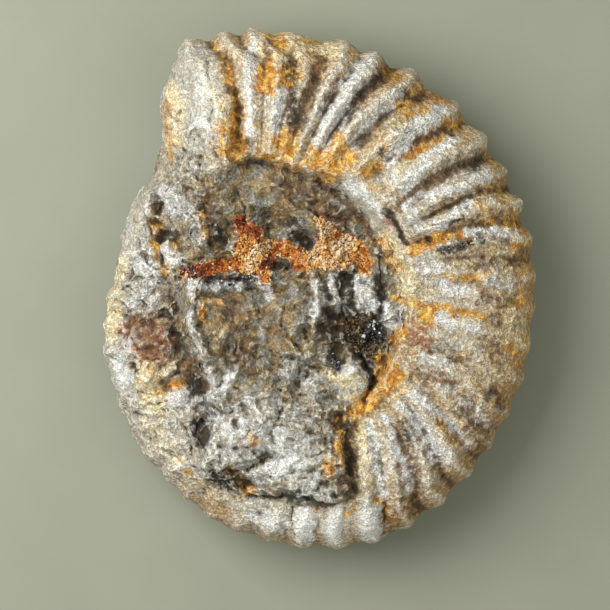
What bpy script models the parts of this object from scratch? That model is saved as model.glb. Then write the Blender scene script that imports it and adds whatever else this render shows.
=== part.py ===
"""Ammonite fossil: a worn ribbed shell turned to stone, with the rock still in its umbilicus.

Lengths are in millimetres until the last step, which turns them to metres. The fossil lies on
its flank: +Z is up, +Y points to the broken aperture, and the origin is on the surface it lies
on, under the middle of its box.
"""

import math

import bmesh
import bpy
import numpy as np
from mathutils import Vector
from mathutils.bvhtree import BVHTree

METRES = 0.001

# Size of the mesh before and after it is reduced to the facets that carry the shape.
FACE_GRID = 76
STONE_TRIANGLES = 8000

# The coil. Its axis in plan, and the last whorl's outer edge about it: (degrees, radius).
COIL_AXIS = (-7.2, -8.7)
OUTER_EDGE = (
    (-165, 35.1), (-150, 34.9), (-135, 35.9), (-120, 37.3), (-105, 39.3), (-90, 41.0),
    (-75, 42.9), (-62, 44.4), (-45, 44.8), (-30, 45.4), (-15, 46.7), (0, 48.1), (15, 50.2),
    (30, 52.2), (45, 54.0), (60, 55.7), (75, 57.1), (90, 58.3), (105, 59.0), (110, 58.6),
    (113.5, 54.6), (117, 51.2), (119, 48.6), (121, 45.4), (123, 43.1), (126, 41.3),
    (130, 39.5), (140, 38.3), (150, 36.6), (160, 35.0), (170, 34.4), (180, 34.8),
)
# Height of the flank's top over the rest surface round the coil: (degrees, height).
FLANK_TOP = (
    (-160, 19.4), (-120, 21.0), (-90, 22.4), (-60, 23.8), (-30, 25.2), (0, 26.6), (30, 28.2),
    (60, 29.8), (90, 31.2), (104, 31.8), (112, 30.4), (120, 27.2), (128, 23.6), (138, 20.6),
    (150, 19.4), (175, 19.0),
)
CENTRE_TOP = 24.4
WHORL_RATIO = 0.49  # the shell's radius falls by this in one turn
RIM_SHARE = 0.31  # of the radius, over which the flank rounds to the venter
RIM_POWER = 2.25  # superellipse power of that rounding

# Shares of the mesh's area: top disc, upper rim, lower rim; the underside takes the rest.
TOP_SHARE, UPPER_SHARE, LOWER_SHARE = 0.36, 0.32, 0.16

# Ribs and grooves where they cross the venter: (degrees, height). Flank ribs lean back inwards.
RIBS = (
    (-252, 0.0), (-206, 0.0), (-201, 0.3), (-196, -0.3), (-191.5, 0.4), (-187, -0.4),
    (-182, 0.4), (-178, -0.4), (-174, 0.4), (-169.5, -0.4), (-165, 0.4), (-160.5, -0.4),
    (-156, 0.4), (-151.5, -0.4), (-147, 0.4), (-142, -0.4), (-137, 0.4), (-133, -0.4),
    (-129, 0.4), (-125, -0.4), (-121, 0.45), (-116.5, -0.45), (-112, 0.45), (-108, -0.45),
    (-104, 0.5), (-99, -0.5), (-94, 0.5), (-89.5, -0.5), (-85, 0.55), (-80.5, -0.55),
    (-76, 0.6), (-71, -0.6), (-66, 0.75), (-61.5, -0.7), (-57, 0.6), (-51.8, -1.0),
    (-47, 0.9), (-42, -0.9), (-37.5, 0.8), (-32.8, -0.7), (-28.5, 0.6), (-24, -0.6),
    (-20, 0.5), (-15.5, -0.5), (-11, 0.45), (-7, -0.45), (-3, 0.4), (1.2, -0.5), (5.5, 0.4),
    (9.2, -0.5), (13, 0.5), (18, -0.7), (22.8, 0.8), (27, -0.9), (31.3, 0.9), (35, -0.9),
    (38.2, 0.85), (42.6, -1.2), (45.4, 1.05), (51.6, -1.05), (55.4, 0.95), (61.4, -0.9),
    (65, 1.05), (69.3, -1.25), (72.2, 0.95), (75.2, -0.7), (78, 0.85), (81.8, -0.9),
    (84.8, 0.05), (87.2, -0.7), (90.3, 0.85), (93.8, -0.6), (97.2, 0.75), (101.4, -0.8),
    (106.5, 0.7), (110, 0.0), (112, 0.0),
)
# How far the rib ends curl forward over the venter: (degrees, degrees).
RIB_CURL = (
    (-250, 0), (12, 0), (18, 1.5), (23, 1.5), (31, 2.6), (38, 1.6), (45, 1.4), (54, 2.8),
    (62, 1.5), (70, 1.0), (78, 0), (82, -0.5), (89, -4.0), (96, -5.7), (101.5, -3.6),
    (108, -1.7), (110, 0),
)
RIB_LEAN = (
    (-250, 30), (-90, 36), (-66, 38), (-38, 38), (-20, 34), (10, 28), (23, 24), (31, 16),
    (38, 12), (45, 26), (55, 34), (65, 35), (78, 21), (90, 8), (97, 3), (107, 0),
)
SEAM_ANGLE = 112  # the broken end, where the whorl's angle starts over

# Rock over the umbilicus: its border as (x, y, width of the slope there).
ROCK_BORDER = (
    (-13.4, 26.6, 1.6), (-7.2, 24.3, 1.6), (-2.8, 23.4, 2.4), (1.4, 23.5, 4.2),
    (6.7, 21.2, 5.4), (11.1, 17.6, 5.8), (14.6, 13.1, 5.6), (17.1, 8.3, 5.0),
    (18.2, 3.3, 4.2), (18.2, -1.9, 3.4), (17.1, -6.6, 2.6), (15.7, -10.6, 2.1),
    (14.4, -14.5, 2.0), (12.6, -17.9, 2.0), (10.5, -21.2, 2.0), (8.0, -24.1, 2.0),
    (6.1, -27.8, 1.7), (5.7, -32.4, 1.4), (6.3, -37.1, 1.4), (6.1, -40.3, 1.3),
    (3.8, -41.5, 1.1), (-1.1, -42.1, 1.0), (-5.9, -41.7, 1.0), (-9.7, -41.3, 1.2),
    (-13.2, -42.5, 1.6), (-17.1, -40.9, 2.0), (-22.3, -38.6, 2.8), (-25.6, -34.2, 3.0),
    (-26.2, -29.3, 3.0), (-26.3, -23.5, 3.0), (-27.1, -15.8, 3.4), (-28.7, -8.1, 3.6),
    (-29.4, -0.4, 3.6), (-29.8, 6.4, 3.6), (-28.7, 12.2, 3.6), (-25.2, 17.9, 3.6),
    (-20.9, 21.2, 3.0), (-16.7, 24.7, 2.0),
)
# Heights that the rock's broken top passes through: (x, y, height).
ROCK_TOP = (
    (-13.6, 23.7, 27.8), (-8.8, 21.8, 27.3), (-3.6, 20.1, 26.4), (1.1, 17.8, 24.8),
    (4.9, 14.7, 23.3), (7.6, 11.2, 22.0), (9.9, 7.3, 21.2), (-20.4, 18.9, 26.0),
    (-17.5, 16.0, 25.3), (-11.3, 16.0, 24.9), (-5.5, 15.1, 24.2), (-0.1, 12.4, 22.6),
    (-24.2, 11.6, 23.6), (-20.4, 7.9, 22.7), (-13.6, 9.3, 21.9), (-7.8, 8.1, 22.0),
    (-3.0, 9.3, 21.2), (2.8, 7.7, 21.2), (-25.2, 3.1, 22.0), (-17.5, 3.7, 21.2),
    (-10.1, 4.2, 20.9), (-0.1, 5.0, 21.1), (8.0, 3.9, 20.9), (-23.3, -0.8, 24.4),
    (-17.1, -1.2, 23.7), (-9.7, -1.2, 23.2), (-3.6, -0.4, 22.8), (-23.6, -7.1, 25.0),
    (-15.5, -8.1, 24.3), (-7.4, -8.1, 23.8), (-2.0, -6.6, 23.0), (-20.9, -14.3, 24.8),
    (-13.6, -15.8, 24.3), (-5.9, -16.2, 24.0), (-0.1, -11.4, 22.9), (1.4, -0.4, 22.9),
    (4.7, 0.4, 21.9), (8.6, -0.8, 22.5), (12.6, 0.6, 21.9), (14.0, -5.6, 22.2),
    (5.7, -7.1, 20.3), (9.9, -8.7, 19.4), (10.3, -12.0, 19.6), (3.0, -12.4, 20.9),
    (5.7, -17.9, 24.3), (2.6, -17.0, 23.6), (6.1, -21.6, 23.9), (9.2, -16.2, 22.2),
    (-17.5, -22.0, 24.9), (-9.7, -22.0, 25.1), (-2.0, -22.0, 24.6), (2.8, -24.9, 24.3),
    (-20.2, -25.9, 24.7), (-15.5, -27.8, 25.6), (-7.4, -27.4, 25.8), (-0.1, -27.4, 25.2),
    (3.4, -29.7, 24.8), (-15.5, -32.4, 25.4), (-5.5, -33.2, 26.0), (1.1, -34.4, 25.7),
    (4.5, -35.5, 24.7), (-18.4, -35.9, 23.8), (-12.1, -35.9, 24.4), (-5.5, -38.4, 25.0),
    (-0.1, -38.8, 24.6), (4.1, -39.8, 23.8), (-11.3, -40.1, 22.6), (-20.4, -38.2, 21.6),
    (-26.7, -2.3, 22.2), (-25.6, -11.0, 22.3), (-24.2, -18.1, 22.0), (-22.3, -22.0, 22.8),
    (-24.2, -29.3, 22.3), (-26.7, 8.3, 21.4), (-26.7, 14.7, 22.3),
)
# Rises and hollows: (x, y, half length, half width, turn in degrees, height).
LUMPS = (
    (-34.5, -10.2, 4.6, 3.8, 20, 1.9), (-40.0, -3.9, 2.9, 1.6, 80, 0.9),
    (-40.4, -11.2, 2.4, 1.5, 90, 0.8), (-37.5, 4.2, 3.6, 2.6, 70, 1.1),
    (-32.9, 1.0, 4.0, 2.2, 25, 0.9), (-27.1, 16.0, 2.2, 1.6, 60, 1.1),
    (-32.5, -17.4, 3.4, 2.6, 40, 0.9), (5.7, -17.8, 4.4, 4.0, 0, 0.9),
    (-27.5, -8.1, 2.2, 3.0, 0, 0.7), (-29.0, 8.3, 2.6, 1.8, 50, 0.8),
    (-31.4, 16.2, 0.9, 1.9, -20, -1.7), (-31.0, 10.4, 1.2, 1.9, -10, -2.0),
    (-32.1, 12.7, 0.8, 1.1, 0, -1.2), (-28.7, -8.7, 0.9, 0.7, 0, -1.1),
    (-36.4, -15.4, 1.0, 0.7, 30, -0.8), (-24.0, -18.9, 2.4, 4.0, 8, -1.7),
    (-22.9, -28.0, 1.7, 3.6, 4, -2.3), (-17.9, -37.2, 3.6, 1.8, -5, -2.1),
    (-20.7, -36.7, 1.2, 1.6, 0, -0.9), (-16.3, -26.2, 0.6, 0.9, 20, -0.8),
    (-12.4, -28.9, 0.9, 0.7, 0, -0.7), (2.0, -34.7, 0.6, 1.6, 30, -0.8),
    (-10.7, -32.0, 1.2, 1.5, -20, -1.5), (-14.4, -38.2, 1.3, 1.3, 0, -0.8),
    (-3.0, 9.3, 1.7, 1.9, 10, -1.6), (-8.0, 4.2, 2.2, 1.1, 0, -1.0),
    (9.9, -8.9, 3.0, 4.0, 25, -1.1), (3.0, -12.7, 1.5, 2.2, 40, -1.2),
    (-0.1, -41.9, 4.6, 1.2, 5, -1.2), (-5.5, 12.7, 1.4, 0.8, 10, -0.8),
    (4.7, 3.1, 0.9, 2.2, -10, -1.0), (-23.3, -0.4, 1.2, 1.4, 0, 0.6),
    (-18.2, 10.2, 1.4, 2.4, 10, -1.2),
)
# Ridges, cracks and creases: (half width, height, points).
CREASES = (
    (0.8, 0.9, ((-24.8, 0.6), (-25.0, -5.8), (-22.5, -11.0), (-21.1, -17.4), (-20.2, -20.1))),
    (0.7, 0.6, ((-20.2, -20.1), (-17.1, -17.2), (-14.4, -14.3), (-13.2, -11.0))),
    (0.7, -0.7, ((-21.7, -1.5), (-15.9, -0.4), (-11.3, 0.0))),
    (0.5, -0.5, ((-17.1, -8.1), (-18.2, -13.1), (-16.7, -17.4))),
    (0.6, 0.4, ((-13.6, -5.8), (-10.9, -8.1), (-10.1, -12.0))),
    (0.5, -0.5, ((-10.1, -12.0), (-4.0, -13.9), (-0.5, -16.2))),
    (0.5, -1.5, ((7.8, -13.3), (9.6, -16.0), (9.9, -18.9), (8.4, -21.4))),
    (0.5, -0.6, ((-4.3, -13.9), (-4.0, -18.7))),
    (0.5, -0.45, ((-8.8, -26.6), (-6.5, -26.2), (-4.1, -27.6), (-3.6, -30.1))),
    (0.7, -0.9, ((-11.3, -29.3), (-9.7, -27.8), (-8.6, -30.5))),
    (0.8, -1.2, ((-22.3, -35.1), (-17.1, -35.5), (-11.3, -33.6))),
    (0.8, 0.7, ((-9.7, -39.4), (-4.0, -37.4), (1.8, -36.5), (4.5, -35.1))),
    (0.6, 0.8, ((-1.1, 2.5), (-0.5, -2.3), (-1.6, -8.1))),
    (0.6, 0.8, ((2.2, 3.1), (2.0, -0.8), (3.2, -4.1))),
    (0.6, 0.7, ((7.0, 0.8), (8.0, -3.5))),
    (0.5, -0.8, ((-26.0, 5.0), (-22.3, 2.3), (-11.3, 1.5), (-4.0, 1.9))),
    (0.9, -1.0, ((12.6, 14.7), (15.0, 11.6), (16.7, 8.7), (21.1, 9.3))),
    (0.6, -0.6, ((21.1, 9.1), (26.0, 9.3), (31.2, 10.0))),
    (1.1, -1.2, ((-16.1, 37.8), (-15.5, 31.5), (-16.3, 25.1))),
    (1.0, -1.1, ((4.5, -24.5), (4.7, -30.3), (6.3, -35.1), (6.5, -40.0))),
    (1.0, 0.7, ((7.8, -29.3), (8.2, -35.1), (8.6, -40.9))),
    (0.6, -0.7, ((-33.3, 11.6), (-32.1, 7.3), (-29.8, 3.9))),
    (0.5, -0.6, ((-38.3, 0.0), (-35.8, 2.3), (-32.5, 2.3))),
    (0.7, -0.7, ((-31.4, -20.1), (-29.8, -17.4), (-26.7, -15.8))),
    (0.5, -0.5, ((-32.5, -27.4), (-31.4, -30.9), (-27.5, -32.8))),
)

# The two hollows that hold crystals: each border, and how deep the crust's floor lies.
SEAM_BORDER = (
    (-26.3, 3.7), (-24.0, 5.0), (-20.6, 5.8), (-17.9, 6.2), (-16.3, 9.3), (-15.9, 12.7),
    (-13.6, 13.9), (-11.3, 12.0), (-10.1, 9.3), (-7.0, 8.7), (-4.0, 7.7), (-1.3, 10.8),
    (-0.5, 13.5), (1.8, 13.1), (4.1, 10.4), (7.2, 9.7), (9.6, 7.3), (10.3, 3.5),
    (8.0, 2.3), (4.9, 3.9), (0.3, 3.5), (-4.0, 3.1), (-8.6, 2.7), (-13.6, 2.3),
    (-19.0, 1.9), (-24.0, 1.5),
)
DRUSE_BORDER = (
    (4.1, -6.2), (6.9, -4.6), (9.9, -4.4), (12.3, -6.6), (13.0, -9.7), (12.3, -12.4),
    (9.6, -13.7), (6.9, -12.7), (4.9, -10.4),
)
POCKET_DEPTH = 1.3
POCKET_SLOPE = 1.6
CRUST_GAP = 0.38  # between the crust's underside and the stone
CRUST_EDGE = 0.45  # thickness where the crust meets the pocket's side

# Broken grain of the stone: (size, height) of its rounded lumps and of its chipped facets.
LUMP_NOISE = ((11.0, 0.55), (5.0, 0.34), (2.4, 0.16))
CHIP_NOISE = ((8.0, 0.95), (3.6, 0.5))
SHELL_NOISE_SHARE = 0.3  # of that, on the ribbed shell
# How broken the shell is round the coil, up to the rock's own roughness: (degrees, share).
WORN_SHELL = ((-140, 0.3), (-100, 0.15), (-60, 0), (100, 0), (108, 0.9), (160, 1.0), (200, 0.8))


def ramp(value, low, high):
    """0 below low, 1 above high, smooth between."""
    part = np.clip((value - low) / (high - low), 0, 1)
    return part * part * (3 - 2 * part)


def round_table(table, angle):
    """A value from a table of (degrees, value) that closes on itself."""
    degrees, values = np.array(table).T
    return np.interp(angle, degrees, values, period=360)


def lump_noise(points, seed):
    """Smooth noise, about -1 to 1, with lumps one unit across."""
    random = np.random.default_rng(seed)
    order = random.permutation(256)
    slopes = random.normal(size=(256, 3))
    slopes /= np.linalg.norm(slopes, axis=1)[:, None]
    cell = np.floor(points).astype(int)
    part = points - cell
    fade = part**3 * (part * (part * 6 - 15) + 10)
    total = np.zeros(len(points))
    for corner in np.ndindex(2, 2, 2):
        at = (cell + corner) & 255
        key = order[(order[(order[at[:, 0]] + at[:, 1]) & 255] + at[:, 2]) & 255]
        weight = np.prod(np.where(corner, fade, 1 - fade), axis=1)
        total += weight * np.sum(slopes[key] * (part - corner), axis=1)
    return 1.6 * total


def chip_noise(points, seed):
    """Flat chipped facets that meet in creases, about -1 to 1, one unit across."""
    random = np.random.default_rng(seed)
    order = random.permutation(256)
    jitter = random.uniform(0.1, 0.9, (256, 3))
    rise = random.uniform(-0.35, 0.35, 256)
    tilt = random.uniform(-0.8, 0.8, (256, 3))
    cell = np.floor(points).astype(int)
    best = np.full(len(points), -9.0)
    for step in np.ndindex(3, 3, 3):
        near = cell + np.array(step) - 1
        at = near & 255
        key = order[(order[(order[at[:, 0]] + at[:, 1]) & 255] + at[:, 2]) & 255]
        off = points - near - jitter[key]
        plane = rise[key] + np.sum(tilt[key] * off, axis=1) - np.sum(off * off, axis=1)
        best = np.maximum(best, plane)
    return 1.4 * best + 0.1


def near_line(x, y, ends):
    """Distance from each point to a line of points, and the share along its nearest length."""
    nearest = np.full(len(x), 1e9)
    place = np.zeros(len(x))
    for index, ((ax, ay), (bx, by)) in enumerate(zip(ends, ends[1:])):
        dx, dy = bx - ax, by - ay
        share = np.clip(((x - ax) * dx + (y - ay) * dy) / (dx * dx + dy * dy), 0, 1)
        away = np.hypot(x - ax - share * dx, y - ay - share * dy)
        place = np.where(away < nearest, index + share, place)
        nearest = np.minimum(nearest, away)
    return nearest, place


def is_inside(x, y, border):
    inside = np.zeros(len(x), bool)
    for (ax, ay), (bx, by) in zip(border, border[1:] + border[:1]):
        crosses = (ay > y) != (by > y)
        across = ax + (y - ay) * (bx - ax) / (by - ay if by != ay else 1e-9)
        inside ^= crosses & (x < across)
    return inside


def depth_inside(x, y, border):
    """Distance inside a closed border, negative outside."""
    away, _ = near_line(x, y, border + border[:1])
    return np.where(is_inside(x, y, border), away, -away)


def spline_surface(x, y, knots):
    """A smooth surface through (x, y, height) knots."""
    knots = np.array(knots)

    def kernel(dx, dy):
        square = dx * dx + dy * dy + 1e-9
        return square * np.log(square)

    count = len(knots)
    system = np.zeros((count + 3, count + 3))
    system[:count, :count] = kernel(
        knots[:, None, 0] - knots[None, :, 0], knots[:, None, 1] - knots[None, :, 1]
    )
    system[:count, :count] += np.eye(count) * 4.0
    system[:count, count:] = np.c_[np.ones(count), knots[:, :2]]
    system[count:, :count] = system[:count, count:].T
    weights = np.linalg.solve(system, np.r_[knots[:, 2], 0, 0, 0])
    height = weights[count] + weights[count + 1] * x + weights[count + 2] * y
    for (knot_x, knot_y, _), weight in zip(knots, weights):
        height += weight * kernel(x - knot_x, y - knot_y)
    return height


def coil_polar(x, y):
    dx, dy = x - COIL_AXIS[0], y - COIL_AXIS[1]
    return np.degrees(np.arctan2(dy, dx)), np.hypot(dx, dy)


def flank_top(x, y):
    """Height of the flank over the rest surface, levelling off towards the coil's axis."""
    angle, radius = coil_polar(x, y)
    ring = round_table(FLANK_TOP, angle)
    near_ring = ramp(radius / round_table(OUTER_EDGE, angle), 0.1, 0.62)
    return CENTRE_TOP + (ring - CENTRE_TOP) * near_ring


def rib_height(angle, share):
    """Height of the ribs at an angle and a share of the whorl's outer radius."""
    angle = np.where(angle > SEAM_ANGLE, angle - 360, angle)
    inwards = np.maximum(1 - share - 0.08, 0)
    lean_angles, leans = np.array(RIB_LEAN).T
    crossing = angle - np.interp(angle - 25 * inwards, lean_angles, leans) * inwards
    curl = np.interp(angle, *np.array(RIB_CURL).T)
    crossing += curl * (1 - ramp(1 - share, 0.02, 0.12))
    places, heights = np.array(RIBS).T
    nearest = np.clip(np.searchsorted(places, crossing), 1, len(places) - 1)
    start, end = places[nearest - 1], places[nearest]
    part = 0.5 - 0.5 * np.cos(np.pi * np.clip((crossing - start) / (end - start), 0, 1))
    return heights[nearest - 1] * (1 - part) + heights[nearest] * part


def pocket_depth(x, y):
    """Depth cut for the crystals' two hollows."""
    total = 0
    for border in (SEAM_BORDER, DRUSE_BORDER):
        total = total + POCKET_DEPTH * ramp(depth_inside(x, y, border), -0.4, POCKET_SLOPE)
    return total


def rock_share(x, y):
    """1 on the rock that fills the umbilicus, 0 on the shell."""
    plan = [(px, py) for px, py, _ in ROCK_BORDER]
    widths = np.array([width for _, _, width in ROCK_BORDER])
    away, place = near_line(x, y, plan + plan[:1])
    width = np.interp(place, np.arange(len(widths) + 1), np.r_[widths, widths[0]])
    return ramp(np.where(is_inside(x, y, plan), away / width, -1), 0, 1)


def creases_and_lumps(x, y):
    total = np.zeros(len(x))
    for at_x, at_y, length, width, turn, height in LUMPS:
        turn = math.radians(turn)
        along = (x - at_x) * math.cos(turn) + (y - at_y) * math.sin(turn)
        across = (y - at_y) * math.cos(turn) - (x - at_x) * math.sin(turn)
        total += height * np.exp(-(((along / length) ** 2 + (across / width) ** 2) ** 1.4))
    for width, height, points in CREASES:
        away, _ = near_line(x, y, points)
        total += height * np.exp(-((away / width) ** 2))
    return total


def underside_hollow(x, y):
    """How far the underside's umbilicus, with one inner whorl, lies above the rest surface."""
    angle, radius = coil_polar(x, y)
    outer = round_table(OUTER_EDGE, angle)
    half = flank_top(x, y) / 2
    lift = half * 0.62
    for turn in range(2):
        whorl = outer * WHORL_RATIO**turn
        off = np.abs(radius / whorl - 0.76) / 0.27
        bulge = half * WHORL_RATIO**turn * np.maximum(1 - off**2.4, 0) ** (1 / 2.4)
        bulge += turn * 0.5 * rib_height(angle, radius / whorl)
        lift = np.minimum(lift, np.where(off < 1, half - bulge, half))
    return np.where(radius / outer > 0.72, 0, lift)


def stone_points(directions):
    """The stone's surface, in millimetres, along unit directions from its middle."""
    area = (1 - directions[:, 2]) / 2
    turn = np.arctan2(directions[:, 1], directions[:, 0])
    sweep = np.radians(np.arange(0, 360, 0.25))
    edge_radius = round_table(OUTER_EDGE, np.degrees(sweep))
    edge = np.c_[np.cos(sweep), np.sin(sweep)] * edge_radius[:, None] + COIL_AXIS
    edge_turn = np.arctan2(edge[:, 1], edge[:, 0])
    reach = np.interp(turn, edge_turn, np.hypot(*edge.T), period=2 * math.pi)
    rim = RIM_SHARE * np.interp(turn, edge_turn, edge_radius, period=2 * math.pi)

    upper_end = TOP_SHARE + UPPER_SHARE
    lower_end = upper_end + LOWER_SHARE
    is_upper = area <= upper_end
    tilt = np.where(
        is_upper,
        np.clip((area - TOP_SHARE) / UPPER_SHARE, 0, 1),
        np.clip((lower_end - area) / LOWER_SHARE, 0, 1),
    )
    disc = np.where(is_upper, area / TOP_SHARE, (1 - area) / (1 - lower_end))
    tilt = tilt * math.pi / 2
    radius = (reach - rim) * np.sqrt(np.clip(disc, 0, 1))
    radius = np.where(tilt > 0, reach - rim + rim * np.sin(tilt) ** (2 / RIM_POWER), radius)
    x, y = radius * np.cos(turn), radius * np.sin(turn)

    side = np.where(is_upper, 1, -1)
    half = flank_top(x, y) / 2
    rise = np.clip(np.cos(tilt), 0, 1) ** (2 / RIM_POWER)
    z = half * (1 + side * rise)
    outward = np.c_[
        np.sin(tilt) * np.cos(turn), np.sin(tilt) * np.sin(turn), side * np.cos(tilt)
    ]

    on_top = np.where(is_upper, 1 - ramp(tilt, 0.9, 1.5), 0)
    rock = rock_share(x, y) * on_top
    z = z + (spline_surface(x, y, ROCK_TOP) - z) * rock
    z = np.where(is_upper, z, z + underside_hollow(x, y))

    angle, coil_radius = coil_polar(x, y)
    share = coil_radius / round_table(OUTER_EDGE, angle)
    spot = np.c_[x, y, z]
    bump = np.zeros(len(x))
    for seed, (size, height) in enumerate(LUMP_NOISE):
        bump += height * lump_noise(spot / size + 7.3, 11 + seed)
    for seed, (size, height) in enumerate(CHIP_NOISE):
        bump += height * chip_noise(spot / size + 3.1, 21 + seed)
    worn = np.interp(angle, *np.array(WORN_SHELL).T, period=360) * ramp(share, 0.4, 0.6)
    rough = SHELL_NOISE_SHARE + (1 - SHELL_NOISE_SHARE) * np.maximum(rock, worn)
    bump *= rough * (1 - 0.55 * ramp(np.sin(tilt), 0.75, 1))

    wear = 0.85 + 0.3 * lump_noise(spot / 9 + 1.7, 31)
    ribs = rib_height(angle, share) * ramp(share, 0.53, 0.7) * (1 - rock) * wear
    ribs *= round_table(OUTER_EDGE, angle) / 52
    bump += np.where(is_upper, ribs, ribs - 0.25 * (1 - ramp(np.sin(tilt), 0, 0.8)))
    bump += creases_and_lumps(x, y) * on_top
    bump -= pocket_depth(x, y) * on_top
    points = spot + outward * bump[:, None]
    points[:, 2] = np.maximum(points[:, 2], 0)
    return points


def material(name, colour, roughness):
    made = bpy.data.materials.new(name)
    made.use_nodes = True
    shader = made.node_tree.nodes["Principled BSDF"]
    shader.inputs["Base Color"].default_value = (*colour, 1)
    shader.inputs["Roughness"].default_value = roughness
    return made


def mesh_object(name, points, faces, surface):
    """A mesh object from points in millimetres."""
    mesh = bpy.data.meshes.new(name)
    mesh.from_pydata((np.asarray(points) * METRES).tolist(), [], faces)
    mesh.materials.append(surface)
    made = bpy.data.objects.new(name, mesh)
    bpy.context.scene.collection.objects.link(made)
    return made


def make_stone(surface):
    """The stone: a cube's grid wrapped round it, shaped, then reduced to its larger facets."""
    cube = bmesh.new()
    bmesh.ops.create_cube(cube, size=2)
    bmesh.ops.subdivide_edges(cube, edges=cube.edges[:], cuts=FACE_GRID - 1, use_grid_fill=True)
    grid = np.array([vertex.co[:] for vertex in cube.verts])
    faces = [[vertex.index for vertex in face.verts] for face in cube.faces]
    cube.free()
    grid = np.tan(grid * math.pi / 4)
    directions = grid / np.linalg.norm(grid, axis=1)[:, None]
    fine = mesh_object("ammonite", stone_points(directions), faces, surface)
    reduce = fine.modifiers.new("facets", "DECIMATE")
    reduce.ratio = STONE_TRIANGLES / (2 * len(faces))
    reduce.use_collapse_triangulate = True
    graph = bpy.context.evaluated_depsgraph_get()
    reduced = bpy.data.meshes.new_from_object(fine.evaluated_get(graph))
    fine.modifiers.clear()
    fine.data = reduced
    for vertex in reduced.vertices:
        if vertex.co.z < 0.06 * METRES:
            vertex.co.z = 0
    return fine


def make_crust(name, border, pitch, peak, seed, stone, surface):
    """A crust of pointed crystals on the floor of a hollow, following the stone under it."""
    random = np.random.default_rng(seed)
    corners = np.array(border)
    low, high = corners.min(axis=0) - pitch, corners.max(axis=0) + pitch
    rows = int((high[1] - low[1]) / (pitch * 0.866)) + 1
    columns = int((high[0] - low[0]) / pitch) + 1
    row, column = np.mgrid[0:rows, 0:columns]
    x = (low[0] + (column + 0.5 * (row % 2)) * pitch).ravel()
    y = (low[1] + row * pitch * 0.866).ravel()
    is_peak = ((column - (row + 1) // 2 + 2 * row) % 3 == 0).ravel()
    x += random.uniform(-0.16, 0.16, len(x)) * pitch
    y += random.uniform(-0.16, 0.16, len(y)) * pitch
    keep = depth_inside(x, y, border) > 0.1

    triangles = []
    for r in range(rows - 1):
        for c in range(columns - 1):
            here, right = r * columns + c, r * columns + c + 1
            above, above_right = here + columns, right + columns
            if r % 2:
                pair = ((here, right, above_right), (here, above_right, above))
            else:
                pair = ((here, right, above), (right, above_right, above))
            triangles += [corner for corner in pair if keep[list(corner)].all()]
    triangles = largest_patch(triangles)
    used = sorted({index for corner in triangles for index in corner})
    renumber = {index: place for place, index in enumerate(used)}
    x, y, is_peak = x[used], y[used], is_peak[used]
    triangles = [[renumber[index] for index in corner] for corner in triangles]

    tree = BVHTree.FromObject(stone, bpy.context.evaluated_depsgraph_get())
    down = Vector((0, 0, -1))
    floor = []
    for at_x, at_y in zip(x, y):
        around = []
        for step_x, step_y in ((0, 0), (0.4, 0), (-0.4, 0), (0, 0.4), (0, -0.4)):
            above_it = Vector(((at_x + step_x) * METRES, (at_y + step_y) * METRES, 1))
            around.append(tree.ray_cast(above_it, down)[0].z / METRES)
        floor.append(max(around) + CRUST_GAP)
    floor = np.array(floor)
    inside = ramp(depth_inside(x, y, border), 0, 1.2)
    top = floor + CRUST_EDGE + 0.3 * inside
    top += np.where(is_peak, peak * random.uniform(0.6, 1.2, len(x)) * inside, 0)

    count = len(x)
    points = np.r_[np.c_[x, y, top], np.c_[x, y, floor]]
    edges = {}
    for a, b, c in triangles:
        for pair in ((a, b), (b, c), (c, a)):
            edges[pair] = True
    walls = []
    for a, b in edges:
        if (b, a) not in edges:
            walls += [(b, a, a + count), (b, a + count, b + count)]
    under = [(c + count, b + count, a + count) for a, b, c in triangles]
    return mesh_object(name, points, triangles + under + walls, surface)


def largest_patch(triangles):
    """The largest group of triangles that share edges, with no two parts meeting at a point."""
    by_edge = {}
    for place, corner in enumerate(triangles):
        for a, b in ((0, 1), (1, 2), (2, 0)):
            by_edge.setdefault(frozenset((corner[a], corner[b])), []).append(place)
    group = [-1] * len(triangles)
    groups = []
    for start in range(len(triangles)):
        if group[start] >= 0:
            continue
        group[start] = len(groups)
        waiting, members = [start], []
        while waiting:
            place = waiting.pop()
            members.append(place)
            corner = triangles[place]
            for a, b in ((0, 1), (1, 2), (2, 0)):
                for other in by_edge[frozenset((corner[a], corner[b]))]:
                    if group[other] < 0:
                        group[other] = len(groups)
                        waiting.append(other)
        groups.append(members)
    return [triangles[place] for place in max(groups, key=len)]


for old in list(bpy.data.objects):
    bpy.data.objects.remove(old)

STONE = make_stone(material("fossil_stone", (0.42, 0.38, 0.31), 0.85))
make_crust(
    "rust_crystal_seam", SEAM_BORDER, 1.15, 0.9, 5, STONE,
    material("rust_crystals", (0.55, 0.22, 0.06), 0.45),
)
make_crust(
    "druse_crust", DRUSE_BORDER, 0.95, 0.8, 6, STONE,
    material("dark_druse", (0.08, 0.08, 0.09), 0.3),
)
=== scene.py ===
"""Ammonite fossil, about 100 mm long: a worn ribbed shell turned to stone, lying on its flank.

The rock still fills its umbilicus, with a seam of rust-coloured crystals and a dark druse.
Lengths are in millimetres and become metres where each mesh is made.
"""

import math

import bmesh
import bpy
import numpy as np
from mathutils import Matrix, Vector
from mathutils.bvhtree import BVHTree


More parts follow.
